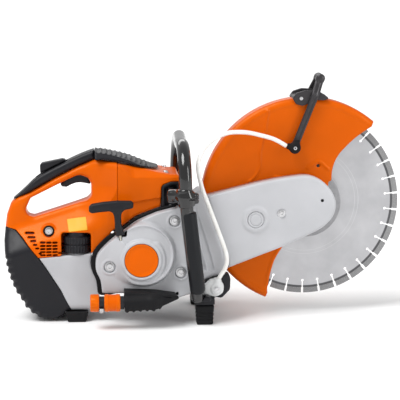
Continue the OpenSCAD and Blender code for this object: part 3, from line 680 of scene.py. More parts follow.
def rear_housing():
    """Orange shell: handle loop, cap pocket, slots and screw recess."""
    s = Space((-368, -64, 114), (-152, 64, 302), 1.25)
    form = rear_form(s)
    region = outline(s, HOUSING_REGION)
    hole = outline(s, rounded(HANDLE_HOLE, [9, 9, 30, 20, 14, 12, 8, 9, 9, 9, 9]))
    solid = smax(smax(form, -hole, 9.0), region, 0.9)
    inner = smax(smax(smax(form + 4.5, region + 4.5, 2.0), -(hole - 5.0), 4.0), 118.0 - s.z, 1.0)
    d = smax(solid, -inner, 1.0)
    # Pocket for the fuel cap
    d = cut(d, block(s, (-261, -70, 106), (-207.5, -9, 165), 6.0), 3.0)
    # Ring and counterbore of the handle screw
    screw, depth = disc(s, HANDLE_SCREW), rear_half(*HANDLE_SCREW)
    d = smin(d, smax(screw - 12.5, np.abs(s.y + depth - 4.5) - 5.5, 2.0), 3.0)
    d = cut(d, smax(screw - 10.4, s.y + depth - 2.5, 0.8))
    # Slot of the throttle trigger
    trigger = outline(s, [
        (-272, 243), (-266, 262), (-242, 276), (-226, 280.5), (-206, 276), (-198, 262), (-199, 243),
    ])
    d = cut(d, smax(trigger, np.abs(s.y) - 11.0, 1.0), 2.0)
    # Air inlet: long louvres beside the black tail, then rows of short slots
    slots = [
        ((-325.5, 162.6), (-312, 162.8)), ((-321, 155.8), (-310, 155.9)), ((-316, 149.6), (-308.5, 149.8)),
        ((-311, 143.4), (-306.5, 143.4)), ((-307, 137.2), (-303, 137.2)),
    ]
    for row in range(5):
        slots += [((x, 147.4 - row * 5.7), (x + 6.4, 147.6 - row * 5.7)) for x in (-298, -287, -276)]
    slots += [((-301, 128), (-299.5, 128)), ((-266, 128.5), (-263, 128.6))]
    for a, b in slots:
        d = cut(d, smax(path_distance(s, [a, b]) - 1.8, s.y + 25.0, 0.6), 0.8)
    made("rear_handle_shell", s, d, "orange_plastic", replaced=["rear_housing"])


def inlet_shade():
    """Painted shade: a dark sheet in shaded orange behind the inlet slots."""
    s = Space((-330, -50, 118), (-258, -20, 170), 1.0)
    area = outline(s, rounded([(-328, 165), (-262, 155), (-262, 123), (-303, 122)], 3))
    near = -(rear_half(s.x, s.z) - 4.2)
    d = smax(area, np.abs(s.y - near - 0.8) - 0.9, 0.5)
    made("inlet_shade_sheet", s, d, "orange_plastic", material=SLOT_SHADE)


def air_filter():
    """Pleated felt element inside the rear shell."""
    s = Space((-196, -27, 229), (-160, 27, 285), 1.0)
    fold = np.abs((s.y % 8.0) / 8.0 - 0.5) * 2.0
    d = block(s, (-192, -24, 232), (-163.5, 24, 280), 3.0) + 2.4 * ramp(fold * 1.4 - 0.4)
    made("filter_element", s, d, "filter_paper", replaced=["air_filter"])


def grip_cover():
    """Black overmould on top of the handle loop, with a pocket for the lockout lever."""
    s = Space((-356, -24, 214), (-194, 24, 318), 1.0)
    top = [
        (-350, 222), (-338, 232), (-326, 243), (-300, 266), (-252, 291), (-226, 303), (-212, 308.5), (-200, 312.5),
    ]
    low = [(-197, 296.5), (-232, 282.5), (-275, 260.5), (-317, 236.5), (-344, 224.5)]
    d2 = outline(s, smooth_curve(top, 5, False) + smooth_curve(low, 5, False))
    d = smax(d2, np.abs(s.y) - 20.5, 9.0)
    pocket = outline(s, [(-306, 256), (-306, 300), (-249, 300), (-249, 284)])
    d = cut(d, smax(pocket, np.abs(s.y) - 11.0, 1.0), 1.5)
    made("grip_overlay", s, d, "black_plastic", replaced=["grip_cover"])


def filter_cover():
    """Black cover over the air filter, with ribs across it."""
    s = Space((-203, -52, 270), (-82, 52, 318), 1.0)
    place_x = np.array([-199, -184, -171, -153, -135, -117, -98, -80], float)
    top = np.interp(s.x, place_x, np.array([313.0, 312.0, 309.5, 305.5, 300.5, 293.0, 286.0, 281.0]))
    low = np.interp(s.x, place_x, np.array([296.0, 298.5, 297.0, 294.0, 290.0, 286.0, 282.0, 279.0]))
    wave = np.maximum(np.sin((s.x + 190.0) * 2 * math.pi / 9.0), -0.3) * 1.1
    ribs = wave * ramp((38.0 - np.abs(s.y)) / 6.0) * ramp((-96.0 - s.x) / 8.0)
    d = smax((s.z - top + (s.y / 46.0) ** 2 * 6.0 - ribs) * 0.93, low - s.z, 1.2)
    d = smax(d, np.abs(s.y) - (59.0 - np.maximum(s.z - 266.0, 0.0) * 0.52), 3.0)
    d = smax(d, np.abs(s.x + 140.5) - 58.5, 3.0)
    made("air_filter_cover", s, d, "black_plastic", replaced=["filter_cover"])


def tail_guard():
    """Black tail with scalloped ribs round its rear edge."""
    s = Space((-370, -64, 0), (-238, 64, 178), 1.3)
    form = rear_form(s)
    angle = np.degrees(np.arctan2(s.z - 150.0, s.x + 232.0)) % 360.0
    tooth = np.abs(((angle - 190.0) % 5.6) / 5.6 - 0.5) * 2.0
    teeth = ramp(tooth * 1.7 - 0.35) * ramp((angle - 190.0) / 4.0) * ramp((247.0 - angle) / 4.0)
    border = outline(s, rounded(REAR_FORM, 12))
    rear = ramp((-(s.x + 290.0)) / 20.0 + ramp((60 - s.z) / 30.0)) * ramp((border + 15.0) / 9.0)
    d = shell_of(form + 2.4 * teeth * rear, outline(s, TAIL_REGION), 5.0)
    made("tail_shell", s, d, "black_plastic", replaced=["tail_guard"])


def fuel_tank():
    """Light grey tank with a filler collar."""
    s = Space((-306, -62, 16), (-186, 62, 148), 1.2)
    form = rear_form(s)
    region = outline(s, rounded(TANK_REGION, [1, 1.5, 6, 8, 8, 4, 2, 1, 8, 8]))
    d = shell_of(form, region, 4.0, 3.5)
    away = disc_y(s, CAP_AT)
    d = smin(d, smax(away - 17.0, np.abs(s.z - 132.0) - 11.0, 1.0), 2.0)
    d = cut(d, smax(away - 13.0, np.abs(s.z - 125.0) - 25.0, 1.0))
    made("tank_shell", s, d, "tank_plastic", replaced=["fuel_tank"])


def fuel_cap():
    """Knurled black cap with a narrower waist and a domed top."""
    profile = [
        (0, 18), (0, 22.6), (1.2, 24.0), (2.5, 24.3), (13, 24.3), (14.5, 23.4), (15, 22.2), (16.5, 22.2),
        (17, 23.4), (18.5, 24.3), (27.5, 24.2), (29.5, 23.0), (30.5, 20.4), (32, 18.4), (38.4, 17.0),
        (40, 14.5), (40, 0),
    ]

    def knurl(angle, row):
        if row in (2, 3, 4, 9, 10):
            return 1.0 - 0.06 * (0.5 + 0.5 * math.cos(angle * 24)) ** 2
        return 1.0

    piece = lathe("tank_cap", (CAP_AT[0], CAP_AT[1], 127.2), (0, 0, 1), profile, 192, knurl)
    return finish_piece(piece, "black_plastic", "cap", ["fuel_cap"])


def trigger_parts():
    """Throttle trigger and its lockout lever."""
    s = Space((-270, -12, 236), (-202, 12, 270), 0.7)
    line = rounded([
        (-262.5, 248.5), (-252, 259), (-240, 266.5), (-228, 270), (-216, 268), (-209, 261), (-206.5, 247.5),
        (-216, 249.6), (-225, 251), (-233, 250.6), (-242, 247.5), (-251, 242.8), (-259.5, 243.6),
    ], [2, 6, 6, 6, 6, 4, 2, 4, 8, 8, 6, 3, 2])
    d = slab(s, outline(s, line), -8.8, 8.8, 5.0)
    made("trigger", s, d, "black_plastic", "trigger", ["throttle_trigger"])
    s = Space((-304, -12, 262), (-246, 12, 300), 0.7)
    line = rounded([(-299, 269), (-299.5, 283), (-296, 288), (-258, 295.5), (-252, 294), (-252, 291.7)],
                   [1, 3, 3, 4, 1.5, 1])
    d = slab(s, outline(s, line), -9.3, 9.3, 3.5)
    made("lockout_lever", s, d, "black_plastic", "lockout", ["trigger_lockout"])


# ---------------------------------------------------------------- engine covers


def engine_shroud():
    """Orange shroud: leaning top band, a crease, and a recess for the handlebar mount."""
    s = Space((-160, -62, 166), (-40, 62, 296), 1.2)
    shape = outline(s, rounded(SHROUD_LINE, [1, 8, 20, 20, 12, 6, 6, 4, 6, 10, 10, 6, 1, 1]))
    crease = 221.6 + (s.x + 130.0) * 0.16 - s.z
    step = 3.4 * ramp(crease / 2.2) * ramp((s.x + 150.0) / 14.0)
    half = BODY_HALF_W - lean_of(s.x, s.z) - step
    form = smax(shape, np.abs(s.y) - half, 6.0)
    seam = -157.6 - s.x
    d = smax(form, seam, 0.4)
    recess = outline(s, rounded([(-78, 252), (-60, 258), (-36, 258), (-36, 205), (-80, 205)], 8))
    recess = smax(recess, s.y + 44.0, 2.0)
    inner = smin(smax(form + 4.0, seam, 1.0), block(s, (-170, -50, 160), (-49, 50, 222), 4.0), 2.0)
    d = cut(d, inner)
    d = cut(d, recess, 3.0)
    d = cut(d, disc_y(s, (CRANK[0], 0.0)) - 11.0)
    made("shroud_shell", s, d, "orange_plastic", replaced=["engine_shroud"])


def fasteners():
    """Screws of the covers, the handle and the engine shroud."""
    first = bolt_head("handle_screw", (HANDLE_SCREW[0], -rear_half(*HANDLE_SCREW) + 2.4, HANDLE_SCREW[1]),
                      (0, -1, 0), 5.6, 3.4)
    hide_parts("machine_screws")
    washer = [(0, 6.9), (0, 9.6), (1.2, 9.9), (2.2, 9.4), (2.2, 7.2)]
    ring = lathe("handle_screw_ring", (HANDLE_SCREW[0], -rear_half(*HANDLE_SCREW) + 2.5, HANDLE_SCREW[1]),
                 (0, -1, 0), washer, 64)
    finish_piece(ring, "rubber")
    for i, y in enumerate((-38, 38)):
        bolt_head("shroud_screw_%d" % i, (-70, y, 272.2), (0, 0, 1), 4.4, 2.8)
    for i, (x, z) in enumerate(FAN_SCREWS):
        bolt_head("fan_screw_%d" % i, (x, 84.9, z), (0, 1, 0), 4.8, 3.4)
    for i, (x, z) in enumerate(COVER_SCREWS):
        bolt = bolt_head("cover_bolt_%d" % i, (x, -84.5, z), (0, -1, 0), 6.6, 3.6)
        if i == 0:
            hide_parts("starter_screws")


def recess_parts():
    """Black liner of the handlebar buffer inside the shroud's recess, with a rim."""
    s = Space((-84, -62, 200), (-36, -38, 262), 0.9)
    liner = outline(s, rounded([
        (-78, 250), (-73, 253), (-61, 258), (-45, 258), (-45, 212), (-62, 208), (-79, 208),
    ], 6))
    d = slab(s, liner, -45.0, -41.0, 1.0)
    rim = smax(np.abs(liner + 3.0) - 3.0, np.abs(s.y + 49.5) - 8.8, 2.0)
    d = smin(d, rim, 2.0)
    made("mount_liner", s, d, "black_plastic")


def starter_cover():
    """Light grey cover: pressed plate, volute dome, raised ring, screw recesses and cooling slots."""
    s = Space((-206, -110, 42), (-16, -64, 224), 1.0)
    shape = cover_outline(s)
    r = disc(s, CRANK)
    # Front face: a dome centred above and ahead of the crankshaft that fades into the plate behind it,
    # a channel over the badge like a volute, and a raised ring round the badge
    volute = disc(s, (CRANK[0] + 3.2, CRANK[1] + 9.2))
    turn = np.degrees(np.arctan2(s.z - CRANK[1], s.x - CRANK[0]))
    behind = ramp((np.abs(turn) - 112.0) / 40.0)
    face = -89.5 - 12.5 * ramp((61.0 - volute + 8.0 * behind) / (7.0 + 30.0 * behind))
    swept = ramp((turn + 62.0) / 40.0) * ramp((138.0 - turn) / 6.0)
    inside = r - 38.0 - 6.0 * ramp((60.0 - turn) / 16.0)
    face = face + 3.4 * swept * ramp((52.0 - volute) / 4.0 + 0.5) * ramp(inside / 4.0 + 0.5)
    face = face - 3.8 * ramp((39.5 - r) / 5.0)
    d = smax(smax(shape, (face - s.y) * 0.85, 4.0), s.y + 60.0, 1.0)
    d = cut(d, smax(r - 31.0, s.y + 104.2, 0.5), 0.6)
    # Screw recesses
    for place in COVER_SCREWS:
        ring = disc(s, place)
        d = smin(d, smax(ring - 14.0, np.abs(s.y + 80.0) - 10.4, 2.0), 3.0)
        d = cut(d, smax(ring - 10.8, s.y + 84.6, 0.8), 1.2)
    # Notch where the starter grip rests, and the rope's hole
    notch = outline(s, rounded([(-168, 165), (-165, 200), (-140, 200), (-143.2, 165)], 1.5))
    d = cut(d, smax(notch, np.abs(s.y - ROPE_Y) - 9.5, 1.0), 1.5)
    d = cut(d, rod(s, (-151, ROPE_Y, 126), (-156.5, ROPE_Y, 190), 3.0))
    # Cooling slots under the dome
    for i in range(5):
        d = cut(d, block(s, (-98 + i * 11, -95, 54), (-93.5 + i * 11, -84, 60), 1.5))
    # Open back
    inner = smax(shape + 3.5, (face + 4.4 - s.y) * 0.85, 3.0)
    for place in COVER_SCREWS:
        inner = smax(inner, 16.0 - disc(s, place), 1.0)
    d = cut(d, inner)
    d = smax(d, s.y + 68.05, 0.5)
    made("starter_housing", s, d, "grey_cover", replaced=["starter_cover"])


def starter_badge():
    """Plain round badge, slightly domed, with a raised rim, and painted shade in the gap round it."""
    profile = [
        (0, 0), (0, 30.0), (1.0, 30.0), (1.8, 29.4), (1.9, 28.4), (1.5, 27.8), (1.7, 20.0), (1.9, 10.0), (2.0, 0),
    ]
    piece = lathe("starter_disc", (CRANK[0], -104.3, CRANK[1]), (0, -1, 0), profile, 120)
    finish_piece(piece, "orange_plastic", "root", ["starter_badge"])
    # Painted shade: a dark ring fills the gap between the badge and the cover
    groove = [(0, 29.6), (0, 30.9), (0.6, 30.9), (0.6, 29.6)]
    piece = lathe("badge_gap_shade", (CRANK[0], -104.5, CRANK[1]), (0, -1, 0), groove, 120)
    finish_piece(piece, "orange_plastic", material=SLOT_SHADE)


def cover_gasket():
    """Black seal between the starter cover and the body, wider behind the cover's rear edge."""
    s = Space((-212, -71, 38), (-10, -60, 232), 1.0)
    shape = cover_outline(s)
    reach = 4.6 + 3.8 * ramp((-158.0 - s.x) / 24.0)
    d = smax(np.abs(shape - reach + 7.5) - 7.5, np.abs(s.y + 65.5) - 2.4, 1.5)
    made("cover_seal", s, d, "rubber", replaced=["cover_gasket"])


def starter_grip():
    """T grip: bowed crossbar that reaches further back, on a waisted stem with a flared foot."""
    s = Space((-213, -106, 164), (-126, -83, 234), 0.75)
    bar = outline(s, rounded([
        (-210.6, 220), (-206, 225), (-185, 228.6), (-160, 230.6), (-134, 230), (-130.4, 226), (-131, 216.5),
        (-140, 214.6), (-158, 212.5), (-172, 211.4), (-192, 209.6), (-205, 207.8), (-210.8, 210.5),
    ], [4, 6, 12, 12, 5, 4, 4, 8, 8, 8, 12, 6, 4]))
    d = slab(s, bar, -101.8, -87.2, 7.0)
    stem = outline(s, rounded([
        (-162.5, 165.5), (-164.6, 178), (-164.4, 190), (-165.6, 202), (-170.5, 216), (-149, 216), (-152.8, 204),
        (-152.4, 188), (-148.5, 175), (-144.8, 168),
    ], [2, 8, 12, 12, 1, 1, 12, 12, 8, 2]))
    d = smin(d, slab(s, stem, -101.0, -88.0, 6.0), 7.0)
    d = cut(d, rod(s, (ROPE_X, ROPE_Y, 160), (ROPE_X - 3.2, ROPE_Y, 207), 3.0), 0.5)
    made("pull_handle", s, d, "black_plastic", "grip", ["starter_grip"])


def starter_rope():
    """Rope from inside the cover to the knot space in the grip."""
    low, high = (-152.4, ROPE_Y, 142.0), (-158.2, ROPE_Y, 205.0)
    steps = 80
    points = [[low[k] + (high[k] - low[k]) * i / steps for k in range(3)] for i in range(steps + 1)]
    piece = tube_mesh("pull_rope", points, 2.0, 12)
    finish_piece(piece, "rope", None, ["starter_rope"])
    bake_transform(piece)


def belt_housing():
    """Light grey casting between starter and arm, with ribs that follow its front edge."""
    s = Space((-206, -84, 46), (48, -40, 256), 1.2)
    cover = outline(s, COVER_LINE)
    middle = outline(s, rounded(MID_LINE, [3, 6, 4, 6, 10, 20, 20, 8, 8, 6, 2]))
    d = slab(s, cover, -66.0, -43.8, 1.0)
    front = slab(s, middle, -79.5, -43.8, 7.0)
    d = smin(d, front, 1.0)
    # Sunk panels between ribs
    for shift, width in ((-15.0, 5.0), (-30.0, 4.5)):
        line = [(26 + shift, 100), (12 + shift, 150), (-2 + shift, 195), (-10 + shift, 232)]
        groove = path_distance(s, smooth_curve(line, 5, False)) - width
        d = cut(d, smax(groove, s.y + 75.5, 2.5), 3.0)
    inner = smax(cover + 4.0, np.abs(s.y + 60.0) - 13.0, 1.0)
    inner = smin(inner, smax(middle + 4.0, np.abs(s.y + 60.5) - 13.5, 1.0), 1.0)
    d = cut(d, inner)
    d = cut(d, block(s, (-60, -64, 105), (60, -45, 227), 2.0))
    d = cut(d, disc(s, CRANK) - 14.0)
    seat = outline(s, [(-70, 40), (-70, 240), (-44.6, 220), (-41.6, 214), (-24.2, 62), (-26, 40)])
    d = cut(d, smax(seat, s.y + 66.0, 0.5))
    made("belt_casing", s, d, "grey_cover", replaced=["belt_housing"])


def belt_guard():
    """Light grey arm cover: softly rounded plate, raised nut boss, screw seat and inspection hole."""
    s = Space((-2, -74, 92), (242, -40, 274), 1.1)
    shape = outline(s, smooth_curve(ARM_LINE[:14], 5, False) + ARM_LINE[14:])
    d = slab(s, shape, -67.8, -43.2, 7.0)
    nut = disc(s, TENSION_NUT)
    d = smin(d, smax(nut - 22.0, np.abs(s.y + 60.0) - 9.6, 4.0), 7.0)
    d = cut(d, smax(nut - 15.3, s.y + 67.8, 0.5), 1.5)
    screw = disc(s, GUARD_SCREW)
    d = cut(d, smax(screw - 8.6, s.y + 66.4, 0.5), 1.2)
    d = cut(d, disc(s, GUARD_HOLE) - 2.9, 0.8)
    d = cut(d, smax(shape + 2.6, -(s.y + 64.6), 2.0))
    d = cut(d, block(s, (-10, -64, 105), (60, -40, 227), 1.0))
    made("arm_cover", s, d, "grey_cover", replaced=["belt_guard"])


def tension_fasteners():
    """The belt tension nut in its boss and the cover screw beside it."""
    nut = [
        (0, 0), (0, 14.4), (3.2, 14.4), (4.0, 13.6), (4.0, 12.0), (3.3, 11.0), (3.3, 10.4), (4.6, 9.4),
        (4.8, 6.0), (4.8, 0),
    ]
    piece = lathe("tension_nut", (TENSION_NUT[0], -66.0, TENSION_NUT[1]), (0, -1, 0), nut, 96)
    finish_piece(piece, "grey_cover", "root", ["tension_fasteners"])
    plug = [(0, 0), (0, 2.7), (0.8, 2.7), (0.8, 0)]
    piece = lathe("inspection_plug", (GUARD_HOLE[0], -66.4, GUARD_HOLE[1]), (0, -1, 0), plug, 32)
    finish_piece(piece, "rubber")
    bolt_head("cover_screw", (GUARD_SCREW[0], -66.2, GUARD_SCREW[1]), (0, -1, 0), 5.2, 3.2)


def arm_casting():
    """Cast arm behind the belt guard, with its spindle boss and pockets."""
    s = Space((-70, -44, 92), (242, -10, 270), 1.4)
    shape = outline(s, smooth_curve(ARM_LINE[:14], 4, False) + ARM_LINE[14:]) + 2.0
    hub = disc(s, SPINDLE)
    d = slab(s, shape, -42.0, -24.0, 3.0)
    foot = outline(s, rounded([(-66, 100), (-66, 200), (10, 222), (30, 190), (38, 110)], 8))
    d = smin(d, slab(s, foot, -42.0, -27.0, 3.0), 4.0)
    for x in (70, 105, 140):
        z = 150 + (x - 70) * 0.3
        d = cut(d, block(s, (x, -31, z), (x + 26, -10, z + 70), 5.0), 2.0)
    d = smin(d, smax(hub - 29.9, np.abs(s.y + 20.0) - 7.5, 1.0), 3.0)
    d = cut(d, smax(hub - 21.0, np.abs(s.y + 28.0) - 12.0, 0.2), 0.3)
    d = cut(d, hub - 13.0, 0.5)
    made("arm_body", s, d, "aluminium", replaced=["arm_casting"])


def fan_housing():
    """Far-side fan cover with radial air slots round a hub."""
    s = Space((-206, 44, 42), (-16, 100, 224), 1.2)
    shape = cover_outline(s)
    r = disc(s, CRANK)
    d = slab(s, shape, 46.0, 86.0, 7.0)
    d = smin(d, smax(smax(r - 64.0, s.y - 97.6, 8.0), 70.0 - s.y, 1.0), 5.0)
    angle = np.arctan2(s.z - CRANK[1], s.x - CRANK[0])
    for low, high, count in ((20.0, 36.0, 16), (40.0, 56.0, 28)):
        fan = np.abs(((angle * count / (2 * math.pi)) % 1.0) - 0.5) * (2 * math.pi / count) * r
        slot = smax(smax(low - r, r - high, 1.0), fan - 2.1, 1.5)
        d = cut(d, smax(slot, 80.0 - s.y, 1.0), 1.5)
    inner = smin(smax(shape + 3.5, s.y - 82.5, 3.0), smax(r - 60.0, s.y - 94.0, 4.0), 2.0)
    d = cut(d, inner)
    d = smax(d, 46.1 - s.y, 0.5)
    for place in FAN_SCREWS:
        d = cut(d, smax(disc(s, place) - 8.0, 84.8 - s.y, 0.5))
    made("fan_cover", s, d, "grey_cover", replaced=["fan_housing"])


# ---------------------------------------------------------------- wheel guard


def guard_outline():
    front = [
        (317, 360), (306, 350), (292, 340), (271, 323), (254, 304), (244.5, 287), (239.5, 269), (238, 248),
    ]
    tail = [(148, 128), (134, 105), (125.5, 78), (121.5, 56)]
    middle = [(215, 215), SPINDLE, (165, 170)]
    rim = arc(SPINDLE, GUARD_R, 248, 50, 60)
    return rim + smooth_curve(front, 4, False) + middle + smooth_curve(tail, 4, False)


def guard_shell():
    """Pressed guard: two walls joined by a rounded rim, beaded edges and embossed lines."""
    s = Space((-8, -26, 12), (328, 26, 412), 1.6)
    shape = outline(s, guard_outline())
    r = disc(s, SPINDLE)
    rim = smax(r - GUARD_R, np.abs(s.y) - GUARD_HALF_W, 12.0)
    outer = smax(smax(shape, np.abs(s.y) - GUARD_HALF_W, 3.0), rim, 1.0)
    # Inside of the channel, open towards the wheel
    hollow = smax(smax(r - (GUARD_R - 3.2), shape - 30.0, 1.0), np.abs(s.y) - (GUARD_HALF_W - 2.9), 8.0)
    d = smax(outer, -hollow, 1.5)
    d = cut(d, smax(r - 80.0, -(s.y - 10.0), 1.0), 2.0)
    # Pressed lines: one beside the hose, a tab, a bead inside the rim, and a stop notch near the arm
    line = smooth_curve([(119, 383), (114, 347), (106, 312), (104, 279), (96, 262), (85, 252)], 6, False)
    stop = smooth_curve([(194, 276), (206, 284), (215, 288), (232, 274)], 5, False)
    # Beads along the front cut and the tail's edge
    front = [(313, 354), (292, 337), (271, 320), (257, 303), (248, 286), (243, 268), (241, 250)]
    tail = [(143, 128), (131, 107), (122.5, 80), (118.5, 58)]
    pressed = 0.0
    for away, height, width in (
        (path_distance(s, line), 3.0, 2.2), (path_distance(s, [(133, 260), (150, 258)]), 3.0, 2.2),
        (r - (GUARD_R - 11.0), 1.2, 3.0), (path_distance(s, stop), 2.4, 2.6), (disc(s, (213, 280)), -2.2, 3.0),
        (path_distance(s, smooth_curve(front, 4, False)), 1.8, 2.6),
        (path_distance(s, smooth_curve(tail, 4, False)), 1.8, 2.6),
    ):
        pressed = pressed + height * np.exp(-((away / width) ** 2))
    d = d - pressed * ramp((np.abs(s.y) - 12.0) / 6.0) * 0.75
    d = cut(d, smax(r - 30.2, np.abs(s.y + 21.0) - 8.0, 0.2), 0.3)
    # The sheet stops at the front and the tail; a separate hub ring carries on round the spindle
    open_side = outline(s, [
        (233, 250), (300, 262), (330, 100), (200, 60), (150, 100), (176, 158), (213, 177), (229, 212),
    ])
    d = cut(d, smax(smax(open_side, r - 72.0, 1.0), s.y + 10.0, 0.5), 0.8)
    made("guard_channel", s, d, "guard_paint", "guard", ["guard_shell"])
    hub = [(0, 30.3), (0, 62.5), (0.7, 64.6), (1.9, 65.0), (2.6, 64.2), (2.6, 30.3)]
    piece = lathe("guard_hub_ring", (SPINDLE[0], -21.2, SPINDLE[1]), (0, 1, 0), hub, 128)
    finish_piece(piece, "dark_metal", "guard", material=HUB_STEEL)


def guard_lever():
    """U-shaped adjusting handle: two grooved side bars and a round crossbar."""
    s = Space((154, -42, 302), (228, 42, 452), 1.0)
    bar = path_distance(s, [LEVER_EYE, LEVER_TOP])
    along = ((s.x - LEVER_EYE[0]) * 0.368 + (s.z - LEVER_EYE[1]) * 0.930) / 134.4
    width = 6.4 + 1.2 * ramp((0.12 - along) / 0.12) + 0.8 * ramp((along - 0.6) / 0.3)
    middle = 32.0 - 17.0 * ramp((along - 0.74) / 0.26)
    leg = smax(bar - width, np.abs(np.abs(s.y) - middle) - 4.0, 3.0) * 0.8
    # Long groove along the outside of each bar
    groove = path_distance(s, [(173, 331), (215, 436)]) - 1.8
    d = smax(leg, -smax(groove, middle + 2.4 - np.abs(s.y), 0.8), 1.2)
    cross = capsule(s, (LEVER_TOP[0], -14, LEVER_TOP[1]), (LEVER_TOP[0], 14, LEVER_TOP[1]), 7.0)
    d = smin(d, cross, 5.0)
    d = cut(d, smax(disc(s, LEVER_EYE) - 3.1, 20.0 - np.abs(s.y), 0.3), 0.5)
    made("guard_handle", s, d, "dark_metal", "guard", ["guard_lever"])


def guard_fittings():
    """Rim saddle, stand-offs, bolt heads and the spray nozzle's eye."""
    s = Space((150, -48, 300), (234, 48, 424), 1.0)
    plate = outline(s, rounded([
        (164, 405), (170, 415), (186, 420), (208, 419), (222, 413), (231, 405), (222, 401.5), (204, 402),
        (196, 396), (182, 391.5), (170, 395),
    ], [4, 6, 8, 8, 6, 2, 4, 6, 6, 6, 6]))
    side = smax(plate, np.abs(np.abs(s.y) - 24.9) - 2.7, 1.5)
    top = smax(smax(plate, np.abs(disc(s, SPINDLE) - (GUARD_R + 2.2)) - 2.0, 1.0), np.abs(s.y) - 26.0, 1.0)
    d = smin(side, top, 2.0)
    eye = disc(s, LEVER_EYE)
    d = smin(d, smax(eye - 9.0, np.abs(np.abs(s.y) - 25.0) - 2.8, 1.0), 0.5)
    d = smin(d, smax(eye - 6.8, np.abs(s.y - 39.0) - 2.5, 2.0), 0.5)
    d = smin(d, smax(eye - 3.0, np.abs(s.y) - 45.0, 0.5), 0.5)
    d = cut(d, smax(eye - 3.4, np.abs(s.y) - 22.2, 0.2), 0.2)
    made("guard_brackets", s, d, "dark_metal", "guard", ["guard_fittings"])
    s = Space((148, -48, 302), (184, -34, 332), 0.7)
    joint = smax(disc(s, LEVER_EYE) - 10.6, np.abs(s.y + 41.4) - 4.4, 3.0)
    joint = smin(joint, rod(s, (167, -42.0, 316), (152.5, -42.0, 319.9), 5.6, 1.5), 3.0)
    joint = smin(joint, block(s, (166, -45, 318), (176, -37, 331), 2.0), 3.0)
    made("nozzle_joint", s, joint, "rubber", "guard")
    for name, x, z, y, direction in (
        ("nozzle_bolt", LEVER_EYE[0], LEVER_EYE[1], -45.4, -1),
        ("handle_bolt", LEVER_EYE[0], LEVER_EYE[1], 41.2, 1),
        ("saddle_bolt_near", 179.5, 405.5, -27.4, -1),
        ("saddle_bolt_far", 179.5, 405.5, 27.4, 1),
    ):
        bolt_head(name, (x, y, z), (0, direction, 0), 3.4, 2.6, "guard", washer=False)


def bolt_head(name, at, axis, radius, height, body="root", slot_name="bright_steel", washer=True):
    """Pan head with a six-lobed recess, on a washer if it has one."""
    base = 1.1 if washer else 0.0
    profile = [(0, 0.0)]
    if washer:
        profile += [(0, radius * 1.35), (0.9, radius * 1.35), (base, radius * 1.25)]
    profile += [
        (base, radius), (base + height * 0.7, radius), (base + height * 0.93, radius * 0.9),
        (base + height, radius * 0.74), (base + height, radius * 0.5), (base + height * 0.35, radius * 0.42),
        (base + height * 0.3, 0.0),
    ]
    recess = (len(profile) - 3, len(profile) - 2)
    piece = lathe(name, at, axis, profile, 48,
                  lambda angle, row: 1.0 + 0.12 * math.cos(6 * angle) if row in recess else 1.0)
    return finish_piece(piece, slot_name, body)


# ---------------------------------------------------------------- handlebar and front support

BAR_NEAR = [(-15, -104, 50), (-19, -116, 72), (-23.5, -124, 105), (-27.5, -126, 138), (-36.5, -126, 216)]
BAR_FAR = [(-43, 126, 240), (-50, 126, 190), (-54, 120, 158)]


def bar_route():
    arch = []
    for i in range(9):
        a = math.radians(180 - i * 11.25)
        arch.append((-39 - i * 0.3, -66 + 60 * math.cos(a), 266 + 60 * math.sin(a)))
    for y in (-40, -13, 13, 40):
        arch.append((-41 + y * 0.03, y, 326))
    for i in range(9):
        a = math.radians(90 - i * 11.25)
        arch.append((-39 - i * 0.3, 66 + 60 * math.cos(a), 266 + 60 * math.sin(a)))
    return BAR_NEAR + arch + BAR_FAR


def handlebar():
    """Bent tube, and the dark sleeve on its near leg."""
    piece = tube_mesh("bent_tube", smooth_curve(bar_route(), 3, False), 12.0, 40)
    finish_piece(piece, "bar_paint", "root", ["handlebar"])
    near = smooth_curve([
        (-16.6, -114, 68), (-17.6, -118.5, 78), (-21, -124, 105), (-25, -126, 138), (-31.5, -126, 194),
        (-33.6, -126, 213),
    ], 8, False)
    radii = [13.9] * len(near)
    for i in range(4):
        radii[i] = 13.2 + 0.2 * i
        radii[-1 - i] = 13.0 + 0.25 * i
    piece = tube_mesh("bar_sleeve", near, radii, 40)
    finish_piece(piece, "dark_sleeve", "root", ["handlebar_sleeve"])


